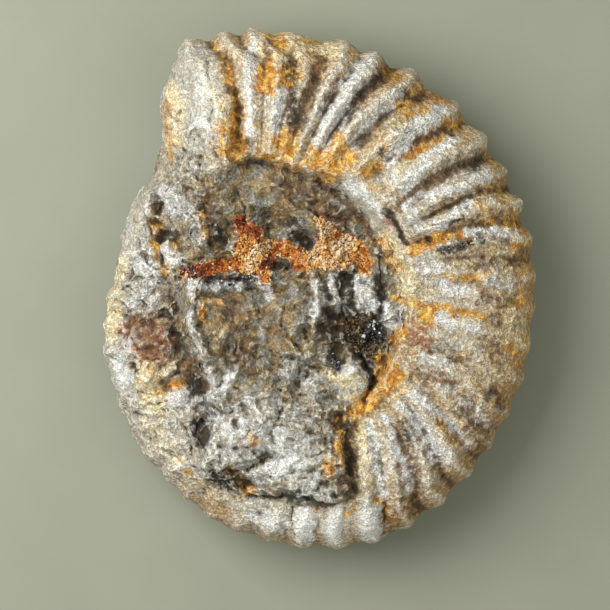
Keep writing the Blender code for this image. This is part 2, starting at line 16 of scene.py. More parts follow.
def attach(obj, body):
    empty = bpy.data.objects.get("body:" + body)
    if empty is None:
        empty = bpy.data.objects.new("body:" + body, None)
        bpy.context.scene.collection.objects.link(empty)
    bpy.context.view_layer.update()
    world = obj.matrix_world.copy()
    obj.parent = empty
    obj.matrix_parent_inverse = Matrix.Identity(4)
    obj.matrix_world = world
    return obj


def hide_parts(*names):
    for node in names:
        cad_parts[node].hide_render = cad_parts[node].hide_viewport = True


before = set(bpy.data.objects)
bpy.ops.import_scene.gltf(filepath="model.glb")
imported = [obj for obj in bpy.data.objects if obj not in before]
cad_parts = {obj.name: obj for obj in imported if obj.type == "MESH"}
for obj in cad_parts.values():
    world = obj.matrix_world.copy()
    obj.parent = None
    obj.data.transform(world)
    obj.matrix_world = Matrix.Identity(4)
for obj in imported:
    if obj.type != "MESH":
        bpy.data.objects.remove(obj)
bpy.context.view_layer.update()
METRES = 0.001

# ---------------------------------------------------------------------------------------------
# The stone. A shell of one and a half visible whorls, filled and replaced by sandy limestone,
# with the same rock left in its middle. It is one piece, freed from its bed with a chisel, so
# the ribbed flank is worn smooth and the rock and the aperture end are broken.

# The coil. Its axis in plan, and the last whorl's outer edge about it: (degrees, radius).
COIL_AXIS = (-7.2, -8.7)
OUTER_EDGE = (
    (-165, 35.1), (-150, 34.9), (-135, 35.9), (-120, 37.3), (-105, 39.3), (-90, 41), (-75, 42.9),
    (-62, 44.4), (-45, 44.8), (-30, 45.4), (-15, 46.7), (0, 48.1), (15, 50.2), (30, 52.2),
    (45, 54), (60, 55.7), (75, 57.1), (90, 58.3), (105, 59), (110, 58.6), (113.5, 54.6),
    (117, 51.2), (119, 48.6), (121, 45.4), (123, 43.1), (126, 41.3), (130, 39.5), (140, 38.3),
    (150, 36.6), (160, 35), (170, 34.4), (180, 34.8),
)
# Height of the flank's top over the rest surface round the coil: (degrees, height).
FLANK_TOP = (
    (-160, 19.4), (-120, 21), (-90, 22.4), (-60, 23.8), (-30, 25.2), (0, 26.6), (30, 28.2),
    (60, 29.8), (90, 31.2), (104, 31.8), (112, 30.4), (120, 27.2), (128, 23.6), (138, 20.6),
    (150, 19.4), (175, 19),
)
CENTRE_TOP = 24.4
WHORL_RATIO = 0.49  # the shell's radius falls by this in one turn
RIM_SHARE = 0.31  # of the radius, over which the flank rounds to the venter
RIM_POWER = 2.25  # superellipse power of that rounding

# Ribs and grooves where they cross the venter: (degrees, height). Flank ribs lean back inwards.
RIBS = (
    (-252, 0), (-206, 0), (-201, 0.3), (-196, -0.3), (-191.5, 0.4), (-187, -0.4), (-182, 0.4),
    (-178, -0.4), (-174, 0.4), (-169.5, -0.4), (-165, 0.4), (-160.5, -0.4), (-156, 0.4),
    (-151.5, -0.4), (-147, 0.4), (-142, -0.4), (-137, 0.4), (-133, -0.4), (-129, 0.4),
    (-125, -0.4), (-121, 0.45), (-116.5, -0.45), (-112, 0.45), (-108, -0.45), (-104, 0.5),
    (-99, -0.5), (-94, 0.5), (-89.5, -0.5), (-85, 0.55), (-80.5, -0.55), (-76, 0.6), (-71, -0.6),
    (-66, 0.75), (-61.5, -0.7), (-57, 0.6), (-51.8, -1), (-47, 0.9), (-42, -0.9), (-37.5, 0.8),
    (-32.8, -0.7), (-28.5, 0.6), (-24, -0.6), (-20, 0.5), (-15.5, -0.5), (-11, 0.45), (-7, -0.45),
    (-3, 0.4), (1.2, -0.5), (5.5, 0.4), (9.2, -0.5), (13, 0.5), (18, -0.7), (22.8, 0.8),
    (27, -0.9), (31.3, 0.9), (35, -0.9), (38.2, 0.85), (42.6, -1.2), (45.4, 1.05), (51.6, -1.05),
    (55.4, 0.95), (61.4, -0.9), (65, 1.05), (69.3, -1.25), (72.2, 0.95), (75.2, -0.7), (78, 0.85),
    (81.8, -0.9), (84.8, 0.05), (87.2, -0.7), (90.3, 0.85), (93.8, -0.6), (97.2, 0.75),
    (101.4, -0.8), (106.5, 0.7), (110, 0), (112, 0),
)
# How far the rib ends curl forward over the venter: (degrees, degrees).
RIB_CURL = (
    (-250, 0), (12, 0), (18, 1.5), (23, 1.5), (31, 2.6), (38, 1.6), (45, 1.4), (54, 2.8),
    (62, 1.5), (70, 1), (78, 0), (82, -0.5), (89, -4), (96, -5.7), (101.5, -3.6), (108, -1.7),
    (110, 0),
)
RIB_LEAN = (
    (-250, 30), (-90, 36), (-66, 38), (-38, 38), (-20, 34), (10, 28), (23, 24), (31, 16),
    (38, 12), (45, 26), (55, 34), (65, 35), (78, 21), (90, 8), (97, 3), (107, 0),
)
SEAM_ANGLE = 112  # the broken end, where the whorl's angle starts over

# Rock over the umbilicus: its border as (x, y, width of the slope there).
ROCK_BORDER = (
    (-13.4, 26.6, 1.6), (-7.2, 24.3, 1.6), (-2.8, 23.4, 2.4), (1.4, 23.5, 4.2), (6.7, 21.2, 5.4),
    (11.1, 17.6, 5.8), (14.6, 13.1, 5.6), (17.1, 8.3, 5), (18.2, 3.3, 4.2), (18.2, -1.9, 3.4),
    (17.1, -6.6, 2.6), (15.7, -10.6, 2.1), (14.4, -14.5, 2), (12.6, -17.9, 2), (10.5, -21.2, 2),
    (8, -24.1, 2), (6.1, -27.8, 1.7), (5.7, -32.4, 1.4), (6.3, -37.1, 1.4), (6.1, -40.3, 1.3),
    (3.8, -41.5, 1.1), (-1.1, -42.1, 1), (-5.9, -41.7, 1), (-9.7, -41.3, 1.2),
    (-13.2, -42.5, 1.6), (-17.1, -40.9, 2), (-22.3, -38.6, 2.8), (-25.6, -34.2, 3),
    (-26.2, -29.3, 3), (-26.3, -23.5, 3), (-27.1, -15.8, 3.4), (-28.7, -8.1, 3.6),
    (-29.4, -0.4, 3.6), (-29.8, 6.4, 3.6), (-28.7, 12.2, 3.6), (-25.2, 17.9, 3.6),
    (-20.9, 21.2, 3), (-16.7, 24.7, 2),
)
# Heights that the rock's broken top passes through: (x, y, height).
ROCK_TOP = (
    (-13.6, 23.7, 27.8), (-8.8, 21.8, 27.3), (-3.6, 20.1, 26.4), (1.1, 17.8, 24.8),
    (4.9, 14.7, 23.3), (7.6, 11.2, 22), (9.9, 7.3, 21.2), (-20.4, 18.9, 26), (-17.5, 16, 25.3),
    (-11.3, 16, 24.9), (-5.5, 15.1, 24.2), (-0.1, 12.4, 22.6), (-24.2, 11.6, 23.6),
    (-20.4, 7.9, 22.7), (-13.6, 9.3, 21.9), (-7.8, 8.1, 22), (-3, 9.3, 21.2), (2.8, 7.7, 21.2),
    (-25.2, 3.1, 22), (-17.5, 3.7, 21.2), (-10.1, 4.2, 20.9), (-0.1, 5, 21.1), (8, 3.9, 20.9),
    (-23.3, -0.8, 24.4), (-17.1, -1.2, 23.7), (-9.7, -1.2, 23.2), (-3.6, -0.4, 22.8),
    (-23.6, -7.1, 25), (-15.5, -8.1, 24.3), (-7.4, -8.1, 23.8), (-2, -6.6, 23),
    (-20.9, -14.3, 24.8), (-13.6, -15.8, 24.3), (-5.9, -16.2, 24), (-0.1, -11.4, 22.9),
    (1.4, -0.4, 22.9), (4.7, 0.4, 21.9), (8.6, -0.8, 22.5), (12.6, 0.6, 21.9), (14, -5.6, 22.2),
    (5.7, -7.1, 20.3), (9.9, -8.7, 19.4), (10.3, -12, 19.6), (3, -12.4, 20.9), (5.7, -17.9, 24.3),
    (2.6, -17, 23.6), (6.1, -21.6, 23.9), (9.2, -16.2, 22.2), (-17.5, -22, 24.9),
    (-9.7, -22, 25.1), (-2, -22, 24.6), (2.8, -24.9, 24.3), (-20.2, -25.9, 24.7),
    (-15.5, -27.8, 25.6), (-7.4, -27.4, 25.8), (-0.1, -27.4, 25.2), (3.4, -29.7, 24.8),
    (-15.5, -32.4, 25.4), (-5.5, -33.2, 26), (1.1, -34.4, 25.7), (4.5, -35.5, 24.7),
    (-18.4, -35.9, 23.8), (-12.1, -35.9, 24.4), (-5.5, -38.4, 25), (-0.1, -38.8, 24.6),
    (4.1, -39.8, 23.8), (-11.3, -40.1, 22.6), (-20.4, -38.2, 21.6), (-26.7, -2.3, 22.2),
    (-25.6, -11, 22.3), (-24.2, -18.1, 22), (-22.3, -22, 22.8), (-24.2, -29.3, 22.3),
    (-26.7, 8.3, 21.4), (-26.7, 14.7, 22.3),
)
# Rises and hollows: (x, y, half length, half width, turn in degrees, height).
LUMPS = (
    (-34.5, -10.2, 4.6, 3.8, 20, 1.9), (-40, -3.9, 2.9, 1.6, 80, 0.9),
    (-40.4, -11.2, 2.4, 1.5, 90, 0.8), (-37.5, 4.2, 3.6, 2.6, 70, 1.1),
    (-32.9, 1, 4, 2.2, 25, 0.9), (-27.1, 16, 2.2, 1.6, 60, 1.1),
    (-32.5, -17.4, 3.4, 2.6, 40, 0.9), (5.7, -17.8, 4.4, 4, 0, 0.9),
    (-27.5, -8.1, 2.2, 3, 0, 0.7), (-29, 8.3, 2.6, 1.8, 50, 0.8),
    (-31.4, 16.2, 0.9, 1.9, -20, -1.7), (-31, 10.4, 1.2, 1.9, -10, -2),
    (-32.1, 12.7, 0.8, 1.1, 0, -1.2), (-28.7, -8.7, 0.9, 0.7, 0, -1.1),
    (-36.4, -15.4, 1, 0.7, 30, -0.8), (-24, -18.9, 2.4, 4, 8, -1.7),
    (-22.9, -28, 1.7, 3.6, 4, -2.3), (-17.9, -37.2, 3.6, 1.8, -5, -2.1),
    (-20.7, -36.7, 1.2, 1.6, 0, -0.9), (-16.3, -26.2, 0.6, 0.9, 20, -0.8),
    (-12.4, -28.9, 0.9, 0.7, 0, -0.7), (2, -34.7, 0.6, 1.6, 30, -0.8),
    (-10.7, -32, 1.2, 1.5, -20, -1.5), (-14.4, -38.2, 1.3, 1.3, 0, -0.8),
    (-3, 9.3, 1.7, 1.9, 10, -1.6), (-8, 4.2, 2.2, 1.1, 0, -1), (9.9, -8.9, 3, 4, 25, -1.1),
    (3, -12.7, 1.5, 2.2, 40, -1.2), (-0.1, -41.9, 4.6, 1.2, 5, -1.2),
    (-5.5, 12.7, 1.4, 0.8, 10, -0.8), (4.7, 3.1, 0.9, 2.2, -10, -1),
    (-23.3, -0.4, 1.2, 1.4, 0, 0.6), (-18.2, 10.2, 1.4, 2.4, 10, -1.2),
)
# Ridges, cracks and creases: (half width, height, points).
CREASES = (
    (0.8, 0.9, ((-24.8, 0.6), (-25, -5.8), (-22.5, -11), (-21.1, -17.4), (-20.2, -20.1))),
    (0.7, 0.6, ((-20.2, -20.1), (-17.1, -17.2), (-14.4, -14.3), (-13.2, -11))),
    (0.7, -0.7, ((-21.7, -1.5), (-15.9, -0.4), (-11.3, 0))),
    (0.5, -0.5, ((-17.1, -8.1), (-18.2, -13.1), (-16.7, -17.4))),
    (0.6, 0.4, ((-13.6, -5.8), (-10.9, -8.1), (-10.1, -12))),
    (0.5, -0.5, ((-10.1, -12), (-4, -13.9), (-0.5, -16.2))),
    (0.5, -1.5, ((7.8, -13.3), (9.6, -16), (9.9, -18.9), (8.4, -21.4))),
    (0.5, -0.6, ((-4.3, -13.9), (-4, -18.7))),
    (0.5, -0.45, ((-8.8, -26.6), (-6.5, -26.2), (-4.1, -27.6), (-3.6, -30.1))),
    (0.7, -0.9, ((-11.3, -29.3), (-9.7, -27.8), (-8.6, -30.5))),
    (0.8, -1.2, ((-22.3, -35.1), (-17.1, -35.5), (-11.3, -33.6))),
    (0.8, 0.7, ((-9.7, -39.4), (-4, -37.4), (1.8, -36.5), (4.5, -35.1))),
    (0.6, 0.8, ((-1.1, 2.5), (-0.5, -2.3), (-1.6, -8.1))),
    (0.6, 0.8, ((2.2, 3.1), (2, -0.8), (3.2, -4.1))), (0.6, 0.7, ((7, 0.8), (8, -3.5))),
    (0.5, -0.8, ((-26, 5), (-22.3, 2.3), (-11.3, 1.5), (-4, 1.9))),
    (0.9, -1, ((12.6, 14.7), (15, 11.6), (16.7, 8.7), (21.1, 9.3))),
    (0.6, -0.6, ((21.1, 9.1), (26, 9.3), (31.2, 10))),
    (1.1, -1.2, ((-16.1, 37.8), (-15.5, 31.5), (-16.3, 25.1))),
    (1, -1.1, ((4.5, -24.5), (4.7, -30.3), (6.3, -35.1), (6.5, -40))),
    (1, 0.7, ((7.8, -29.3), (8.2, -35.1), (8.6, -40.9))),
    (0.6, -0.7, ((-33.3, 11.6), (-32.1, 7.3), (-29.8, 3.9))),
    (0.5, -0.6, ((-38.3, 0), (-35.8, 2.3), (-32.5, 2.3))),
    (0.7, -0.7, ((-31.4, -20.1), (-29.8, -17.4), (-26.7, -15.8))),
    (0.5, -0.5, ((-32.5, -27.4), (-31.4, -30.9), (-27.5, -32.8))),
)
# Hairline cracks, chisel scars and thin ledges, which the plain solid leaves out.
FINE_CREASES = (
    (2, -0.8, ((-15.9, 32.8), (-15.5, 28.9), (-15.9, 25.9))),
    (0.3, -0.35, ((-0.7, -42.5), (-0.5, -45.9), (-1.1, -49))),
    (0.3, -0.35, ((4.7, -42.5), (4.5, -45.9), (4.1, -49.4))),
    (0.3, -0.35, ((-5.3, -42.5), (-5.5, -45.9), (-4.5, -48.6))),
    (0.35, -0.5, ((12.4, -42.1), (12.6, -45.2), (12.1, -48.2))),
    (0.8, 0.9, (
        (-24.6, 3.1), (-25.2, -2.3), (-24.6, -6.9), (-23.1, -11.6), (-21.1, -16.2), (-19.8, -19.7),
    )),
    (0.7, 0.7, ((-16.3, -16.6), (-18.6, -19.3), (-21.7, -22))),
    (0.35, -0.45, ((-18.4, -2.3), (-15.9, -7.3), (-16.3, -12.4))),
    (0.35, 0.35, ((-20.6, -2.3), (-18.2, -6.6), (-17.1, -8.9))),
    (0.3, -0.4, ((-13.2, -2.3), (-11.3, -5.8), (-7.4, -7.3), (-4.7, -10.8))),
    (0.3, -0.4, ((-7.4, -7.3), (-6.7, -3.5))),
    (0.35, -0.5, ((-4.7, -10.8), (-2.4, -15.1), (1.8, -16))),
    (0.35, 0.4, ((-12.1, -12.4), (-9.4, -15.1), (-5.5, -16.2))),
    (0.3, -0.4, ((-19, -17.8), (-14.4, -20.1), (-9.4, -19.3))),
    (0.35, -0.5, ((-9.4, -19.3), (-4, -20.8), (1.1, -20.1))),
    (0.4, 0.4, ((-7.8, -22), (-4, -23.5), (-0.5, -22.4))),
    (0.35, -0.6, ((-20.6, -23.2), (-17.9, -24.3), (-15.5, -23.2))),
    (0.4, -0.7, ((-19.4, -30.5), (-15.5, -31.3), (-12.4, -30.5))),
    (0.4, 0.5, ((-19, -32.4), (-15.5, -33.2), (-11.3, -31.7))),
    (0.35, -0.5, ((-4, -31.7), (-0.9, -32.4), (1.8, -30.9))),
    (0.3, 0.45, ((-7.4, -28.6), (-5.5, -28.2), (-4.1, -29.3))),
    (0.4, -0.6, ((-9.7, -36.7), (-4.7, -35.5), (0.3, -34.4))),
    (0.35, -0.5, ((-6.7, 17.8), (-4, 15.4), (-1.3, 14.3), (1.1, 11.6))),
    (0.4, 0.5, ((-11.3, 21.2), (-7, 18.5), (-1.6, 17))),
    (0.35, -0.5, ((-16.3, 18.9), (-14.4, 15.4), (-14.8, 12))),
    (0.35, -0.6, ((-22.3, 15.8), (-20.9, 12.4), (-21.3, 8.1))),
    (0.5, 0.6, ((-24.8, 17), (-23.6, 13.1), (-23.1, 8.1))),
    (0.3, -0.45, ((3.4, 20.5), (6.1, 16.2), (8.4, 13.9), (10.7, 9.7))),
    (0.3, -0.4, ((20, 11.4), (24.2, 12.2), (27.3, 13.3))),
    (0.25, 0.3, ((22.3, 12.4), (25.4, 14.3), (28.3, 16.2))),
    (0.3, -0.5, ((3, 2.3), (4.1, -1.5), (4.3, -4.6))), (0.3, -0.5, ((6.1, 2.3), (6.1, -1.9))),
    (0.4, 0.5, ((4.9, -5.4), (8, -4.6), (12.3, -5))),
    (0.3, -0.4, ((-22.1, 43.6), (-20.6, 37.8), (-20.9, 31.7), (-19.6, 26.6))),
    (0.3, -0.35, ((-26, 40.1), (-24.8, 34.4), (-25.6, 28.6))),
    (0.35, 0.4, ((-29.4, 37.1), (-27.9, 32), (-27.5, 26.6))),
    (0.3, -0.4, ((-26, 24.7), (-22.1, 25.5), (-18.2, 27))),
    (0.35, -0.5, ((-34.8, -2.3), (-32.9, -5), (-29.4, -5.8))),
    (0.35, -0.5, ((-37.2, -7.3), (-36, -10.8), (-32.9, -13.5), (-30.2, -13.1))),
    (0.35, -0.5, ((-39.1, -5.8), (-37.5, -8.1), (-37.9, -12))),
    (0.35, -0.5, ((-34.8, -21.2), (-32.5, -22.4), (-29, -21.6))),
    (0.35, -0.4, ((-35.6, 10), (-33.7, 5), (-34.8, 0.4))),
    (0.3, -0.4, ((-27.1, -25.5), (-25.2, -29.3), (-25.6, -33.6))),
    (0.4, -0.6, ((-14, -41.3), (-9.4, -40.5), (-4, -40.9))),
)
# Pale lime-filled pits and knobs on the rock: (x, y, half length, half width, turn, height).
FINE_LUMPS = (
    (-26.5, 15.6, 1.6, 0.8, 70, 0.6), (-29.6, 6.2, 1.2, 0.9, 30, 0.5),
    (-33.7, 3.5, 2, 1.4, 60, 0.5), (8.6, -1.7, 1.4, 2.4, 0, 0.5), (3.2, -1.2, 0.7, 2.6, 5, 0.5),
    (13.6, -5.6, 1.3, 1.2, 0, 0.5), (-26.7, -21.2, 2, 1.2, 20, 0.6),
    (-22.1, -25.5, 0.9, 1.6, 10, -0.9), (-23.4, -30.5, 0.8, 1.4, 0, -0.9),
    (-16.3, -26.2, 0.8, 1.1, 10, -0.5), (-19.8, -20.8, 0.7, 0.9, 0, -0.8),
    (-17.1, 9.7, 0.8, 1.3, 0, -0.8), (-14, 17.8, 1.2, 0.9, 30, -0.5),
    (-4.1, 9.7, 1.6, 0.8, 30, -0.35), (-2.8, 8.1, 0.7, 0.5, 0, -0.4),
    (-7.2, 4.2, 1.4, 0.5, 10, -0.3), (-34.5, -6.9, 0.7, 0.5, 30, -0.8),
    (-30.4, -5.4, 0.6, 0.4, 0, -0.7), (-36, -16.2, 0.6, 0.5, 0, -0.6),
    (-40, -15.4, 0.7, 0.6, 0, 0.4), (-34.8, -2.3, 1, 0.7, 40, 0.5),
    (-38.7, -8.1, 0.9, 1.4, 0, 0.4), (-25.6, 10.8, 0.6, 1.2, 0, -0.6),
    (-14.4, -38.4, 0.9, 1, 0, -0.5), (-2, -40.3, 2.4, 0.6, 4, -0.7),
    (-7.4, -30.9, 0.8, 0.8, 0, 0.5), (-11.3, -26.2, 1.2, 0.8, 20, 0.4),
    (1.8, -38.6, 1.6, 0.7, 20, 0.5), (-5.5, -37.8, 1.6, 0.8, 10, 0.6),
    (5.7, -16.2, 1.4, 1, 20, 0.4), (3.8, -19.3, 1.2, 1, 60, 0.4), (8, -18.5, 0.9, 1.2, 0, 0.4),
)
# Where the break is smooth, as on a cleaved face or on whole shell: an ellipse as above, and how
# smooth it is there.
CALM = (
    (-23.3, 37.8, 11.5, 5.2, 95, 0.55), (-17.1, -5.8, 6.2, 4.4, 110, 0.7),
    (-9, -7.3, 6, 4.6, 60, 0.65), (-7.4, 18.5, 11, 5, -14, 0.55), (3, -45.7, 10, 3.4, 2, 0.9),
    (-34.3, -9.3, 3.6, 3.2, 0, 0.65), (-17.9, -15.1, 4.4, 4.6, 20, 0.5),
    (-11.3, -29.7, 5, 3.4, 10, 0.5), (-4, -33.6, 5, 3, 30, 0.45), (-37.9, 10.8, 3, 6.4, -20, 0.6),
    (-38.7, -16.2, 2.8, 4.4, 10, 0.5), (-17.1, -27.4, 3, 3.4, 0, 0.4), (28.9, -6.2, 6, 9, 0, 0.3),
    (5.9, -18.5, 4.4, 3.8, 0, 0.75), (9.9, 15.4, 9, 3, -52, 0.65), (-15.5, 29.5, 6, 2.4, 90, 0.7),
    (13.8, -8.1, 1.6, 1.6, 0, 0.5), (-13.6, -18.7, 6, 2.6, 5, 0.4),
)
# The two hollows that hold crystals: each border, then how deep the stone lies under them and
# how far from the border it slopes down to that.
SEAM_BORDER = (
    (-26.3, 3.7), (-24, 5), (-20.6, 5.8), (-17.9, 6.2), (-16.3, 9.3), (-15.9, 12.7),
    (-13.6, 13.9), (-11.3, 12), (-10.1, 9.3), (-7, 8.7), (-4, 7.7), (-1.3, 10.8), (-0.5, 13.5),
    (1.8, 13.1), (4.1, 10.4), (7.2, 9.7), (9.6, 7.3), (10.3, 3.5), (8, 2.3), (4.9, 3.9),
    (0.3, 3.5), (-4, 3.1), (-8.6, 2.7), (-13.6, 2.3), (-19, 1.9), (-24, 1.5),
)
DRUSE_BORDER = (
    (4.1, -6.2), (6.9, -4.6), (9.9, -4.4), (12.3, -6.6), (13, -9.7), (12.3, -12.4), (9.6, -13.7),
    (6.9, -12.7), (4.9, -10.4),
)
POCKET_DEPTH = 0.75
POCKET_SLOPE = 1.8
# Where the edge has broken back: degrees round the coil, how far it spreads in degrees, depth.
CHIPPED_EDGE = (162, 9, 1.1)
HIGHEST, TOP_WEAR = 32.6, 0.7  # what stands above this height has lost this share of the rest

# Broken grain of the stone: (size, height) of its rounded lumps and of its chipped facets.
LUMP_NOISE = ((11.0, 0.55), (5.0, 0.55), (2.4, 0.4), (1.2, 0.26), (0.6, 0.12))
CHIP_NOISE = ((9.0, 1.7), (5.0, -2.3), (2.8, 1.0), (1.9, -0.8), (1.1, -0.45))
SHELL_LARGE, SHELL_SMALL = 0.22, 0.34  # shares of that on the ribbed shell, over and under 2 mm
# How broken the shell is round the coil, up to the rock's own roughness: (degrees, share).
WORN_SHELL = ((-140, 0.3), (-100, 0.15), (-60, 0), (100, 0), (108, 0.9), (160, 1.0), (200, 0.8))

# The mesh: grid cells along one side of the wrapped cube, its triangles once reduced, and the
# shares of the grid that the top, the upper rim and the lower rim take.
FACE_GRID = 200
STONE_TRIANGLES = 198000
TOP_SHARE, UPPER_SHARE, LOWER_SHARE = 0.44, 0.32, 0.12
SHARP_ANGLE = 38  # degrees between faces from which an edge stays sharp


def ramp(value, low, high):
    """0 below low, 1 above high, smooth between."""
    part = np.clip((value - low) / (high - low), 0, 1)
    return part * part * (3 - 2 * part)


def round_table(table, angle):
    """A value from a table of (degrees, value) that closes on itself."""
    degrees, values = np.array(table).T
    return np.interp(angle, degrees, values, period=360)


def lump_noise(points, seed):
    """Smooth noise, about -1 to 1, with lumps one unit across."""
    random = np.random.default_rng(seed)
    order = random.permutation(256)
    slopes = random.normal(size=(256, 3))
    slopes /= np.linalg.norm(slopes, axis=1)[:, None]
    cell = np.floor(points).astype(int)
    part = points - cell
    fade = part**3 * (part * (part * 6 - 15) + 10)
    total = np.zeros(len(points))
    for corner in np.ndindex(2, 2, 2):
        at = (cell + corner) & 255
        key = order[(order[(order[at[:, 0]] + at[:, 1]) & 255] + at[:, 2]) & 255]
        weight = np.prod(np.where(corner, fade, 1 - fade), axis=1)
        total += weight * np.sum(slopes[key] * (part - corner), axis=1)
    return 1.6 * total


def chip_noise(points, seed):
    """Flat chipped facets, some of them a step apart, about -1 to 1, one unit across."""
    random = np.random.default_rng(seed)
    order = random.permutation(256)
    jitter = random.uniform(0.1, 0.9, (256, 3))
    rise = random.uniform(-0.35, 0.35, 256)
    tilt = random.uniform(-0.8, 0.8, (256, 3))
    cell = np.floor(points).astype(int)
    best, flat = np.full(len(points), -9.0), np.zeros(len(points))
    for step in np.ndindex(3, 3, 3):
        near = cell + np.array(step) - 1
        at = near & 255
        key = order[(order[(order[at[:, 0]] + at[:, 1]) & 255] + at[:, 2]) & 255]
        off = points - near - jitter[key]
        plane = rise[key] + np.sum(tilt[key] * off, axis=1)
        domed = plane - np.sum(off * off, axis=1)
        flat = np.where(domed > best, plane, flat)
        best = np.maximum(best, domed)
    return 1.1 * best + 0.25 * flat


def near_line(x, y, ends):
    """Distance from each point to a line of points, and the share along its nearest length."""
    nearest = np.full(len(x), 1e9)
    place = np.zeros(len(x))
    for index, ((ax, ay), (bx, by)) in enumerate(zip(ends, ends[1:])):
        dx, dy = bx - ax, by - ay
        share = np.clip(((x - ax) * dx + (y - ay) * dy) / (dx * dx + dy * dy), 0, 1)
        away = np.hypot(x - ax - share * dx, y - ay - share * dy)
        place = np.where(away < nearest, index + share, place)
        nearest = np.minimum(nearest, away)
    return nearest, place


def is_inside(x, y, border):
    """Which points lie inside a closed border."""
    inside = np.zeros(len(x), bool)
    for (ax, ay), (bx, by) in zip(border, border[1:] + border[:1]):
        crosses = (ay > y) != (by > y)
        across = ax + (y - ay) * (bx - ax) / (by - ay if by != ay else 1e-9)
        inside ^= crosses & (x < across)
    return inside


def depth_inside(x, y, border):
    """Distance inside a closed border, negative outside."""
    away, _ = near_line(x, y, border + border[:1])
    return np.where(is_inside(x, y, border), away, -away)


def spline_surface(x, y, knots):
    """A smooth surface through (x, y, height) knots."""
    knots = np.array(knots)

    def kernel(dx, dy):
        square = dx * dx + dy * dy + 1e-9
        return square * np.log(square)

    count = len(knots)
    system = np.zeros((count + 3, count + 3))
    system[:count, :count] = kernel(
        knots[:, None, 0] - knots[None, :, 0], knots[:, None, 1] - knots[None, :, 1]
    )
    system[:count, :count] += np.eye(count) * 4.0
    system[:count, count:] = np.c_[np.ones(count), knots[:, :2]]
    system[count:, :count] = system[:count, count:].T
    weights = np.linalg.solve(system, np.r_[knots[:, 2], 0, 0, 0])
    height = weights[count] + weights[count + 1] * x + weights[count + 2] * y
    for (knot_x, knot_y, _), weight in zip(knots, weights):
        height += weight * kernel(x - knot_x, y - knot_y)
    return height


def coil_polar(x, y):
    """Degrees round the coil's axis, and distance from it."""
    dx, dy = x - COIL_AXIS[0], y - COIL_AXIS[1]
    return np.degrees(np.arctan2(dy, dx)), np.hypot(dx, dy)


def flank_top(x, y):
    """Height of the flank over the rest surface, levelling off towards the coil's axis."""
    angle, radius = coil_polar(x, y)
    ring = round_table(FLANK_TOP, angle)
    near_ring = ramp(radius / round_table(OUTER_EDGE, angle), 0.1, 0.62)
    return CENTRE_TOP + (ring - CENTRE_TOP) * near_ring


def rib_height(angle, share):
    """Height of the ribs at an angle and a share of the whorl's outer radius."""
    angle = np.where(angle > SEAM_ANGLE, angle - 360, angle)
    inwards = np.maximum(1 - share - 0.08, 0)
    lean_angles, leans = np.array(RIB_LEAN).T
    crossing = angle - np.interp(angle - 25 * inwards, lean_angles, leans) * inwards
    curl = np.interp(angle, *np.array(RIB_CURL).T)
    crossing += curl * (1 - ramp(1 - share, 0.02, 0.12))
    places, heights = np.array(RIBS).T
    nearest = np.clip(np.searchsorted(places, crossing), 1, len(places) - 1)
    start, end = places[nearest - 1], places[nearest]
    part = np.clip((crossing - start) / (end - start), 0, 1)
    part = 0.5 * part + 0.25 - 0.25 * np.cos(np.pi * part)
    return heights[nearest - 1] * (1 - part) + heights[nearest] * part


def pocket_depth(x, y):
    """Depth cut for the crystals' two hollows."""
    total = 0
    for border in (SEAM_BORDER, DRUSE_BORDER):
        total = total + POCKET_DEPTH * ramp(depth_inside(x, y, border), -0.4, POCKET_SLOPE)
    return total


def rock_share(x, y):
    """1 on the rock that fills the umbilicus, 0 on the shell."""
    plan = [(px, py) for px, py, _ in ROCK_BORDER]
    widths = np.array([width for _, _, width in ROCK_BORDER])
    away, place = near_line(x, y, plan + plan[:1])
    width = np.interp(place, np.arange(len(widths) + 1), np.r_[widths, widths[0]])
    return ramp(np.where(is_inside(x, y, plan), away / width, -1), 0, 1)


def ellipse(x, y, at_x, at_y, length, width, turn):
    """Squared distance from the middle of a turned ellipse, 1 on its edge."""
    turn = math.radians(turn)
    along = (x - at_x) * math.cos(turn) + (y - at_y) * math.sin(turn)
    across = (y - at_y) * math.cos(turn) - (x - at_x) * math.sin(turn)
    return (along / length) ** 2 + (across / width) ** 2


def creases_and_lumps(x, y, spot):
    """Height that the named lumps and creases add; a crease's depth wavers along it."""
    total = np.zeros(len(x))
    depth = np.clip(1.15 + 0.9 * lump_noise(spot / 1.8 + 2.9, 45), 0.25, 2.0)
    for at_x, at_y, length, width, turn, height in LUMPS + FINE_LUMPS:
        total += height * np.exp(-(ellipse(x, y, at_x, at_y, length, width, turn) ** 1.4))
    for width, height, points in CREASES + FINE_CREASES:
        away, _ = near_line(x, y, points)
        total += height * depth * np.exp(-((away / width) ** 2))
    return total


def underside_hollow(x, y):
    """How far the underside's umbilicus, with one inner whorl, lies above the rest surface."""
    angle, radius = coil_polar(x, y)
    outer = round_table(OUTER_EDGE, angle)
    half = flank_top(x, y) / 2
    lift = half * 0.62
    for turn in range(2):
        whorl = outer * WHORL_RATIO**turn
        off = np.abs(radius / whorl - 0.76) / 0.27
        bulge = half * WHORL_RATIO**turn * np.maximum(1 - off**2.4, 0) ** (1 / 2.4)
        bulge += turn * 0.5 * rib_height(angle, radius / whorl)
        lift = np.minimum(lift, np.where(off < 1, half - bulge, half))
    return np.where(radius / outer > 0.72, 0, lift)


def stray(points, wide, narrow):
    """Plan places moved a little at random, so that drawn lines and borders wander."""
    moved = []
    for axis in (0, 1):
        shift = wide * lump_noise(points / 2.6 + 4.2, 41 + axis)
        shift += narrow * lump_noise(points / 0.95 + 1.3, 43 + axis)
        moved.append(points[:, axis] + shift)
    return moved


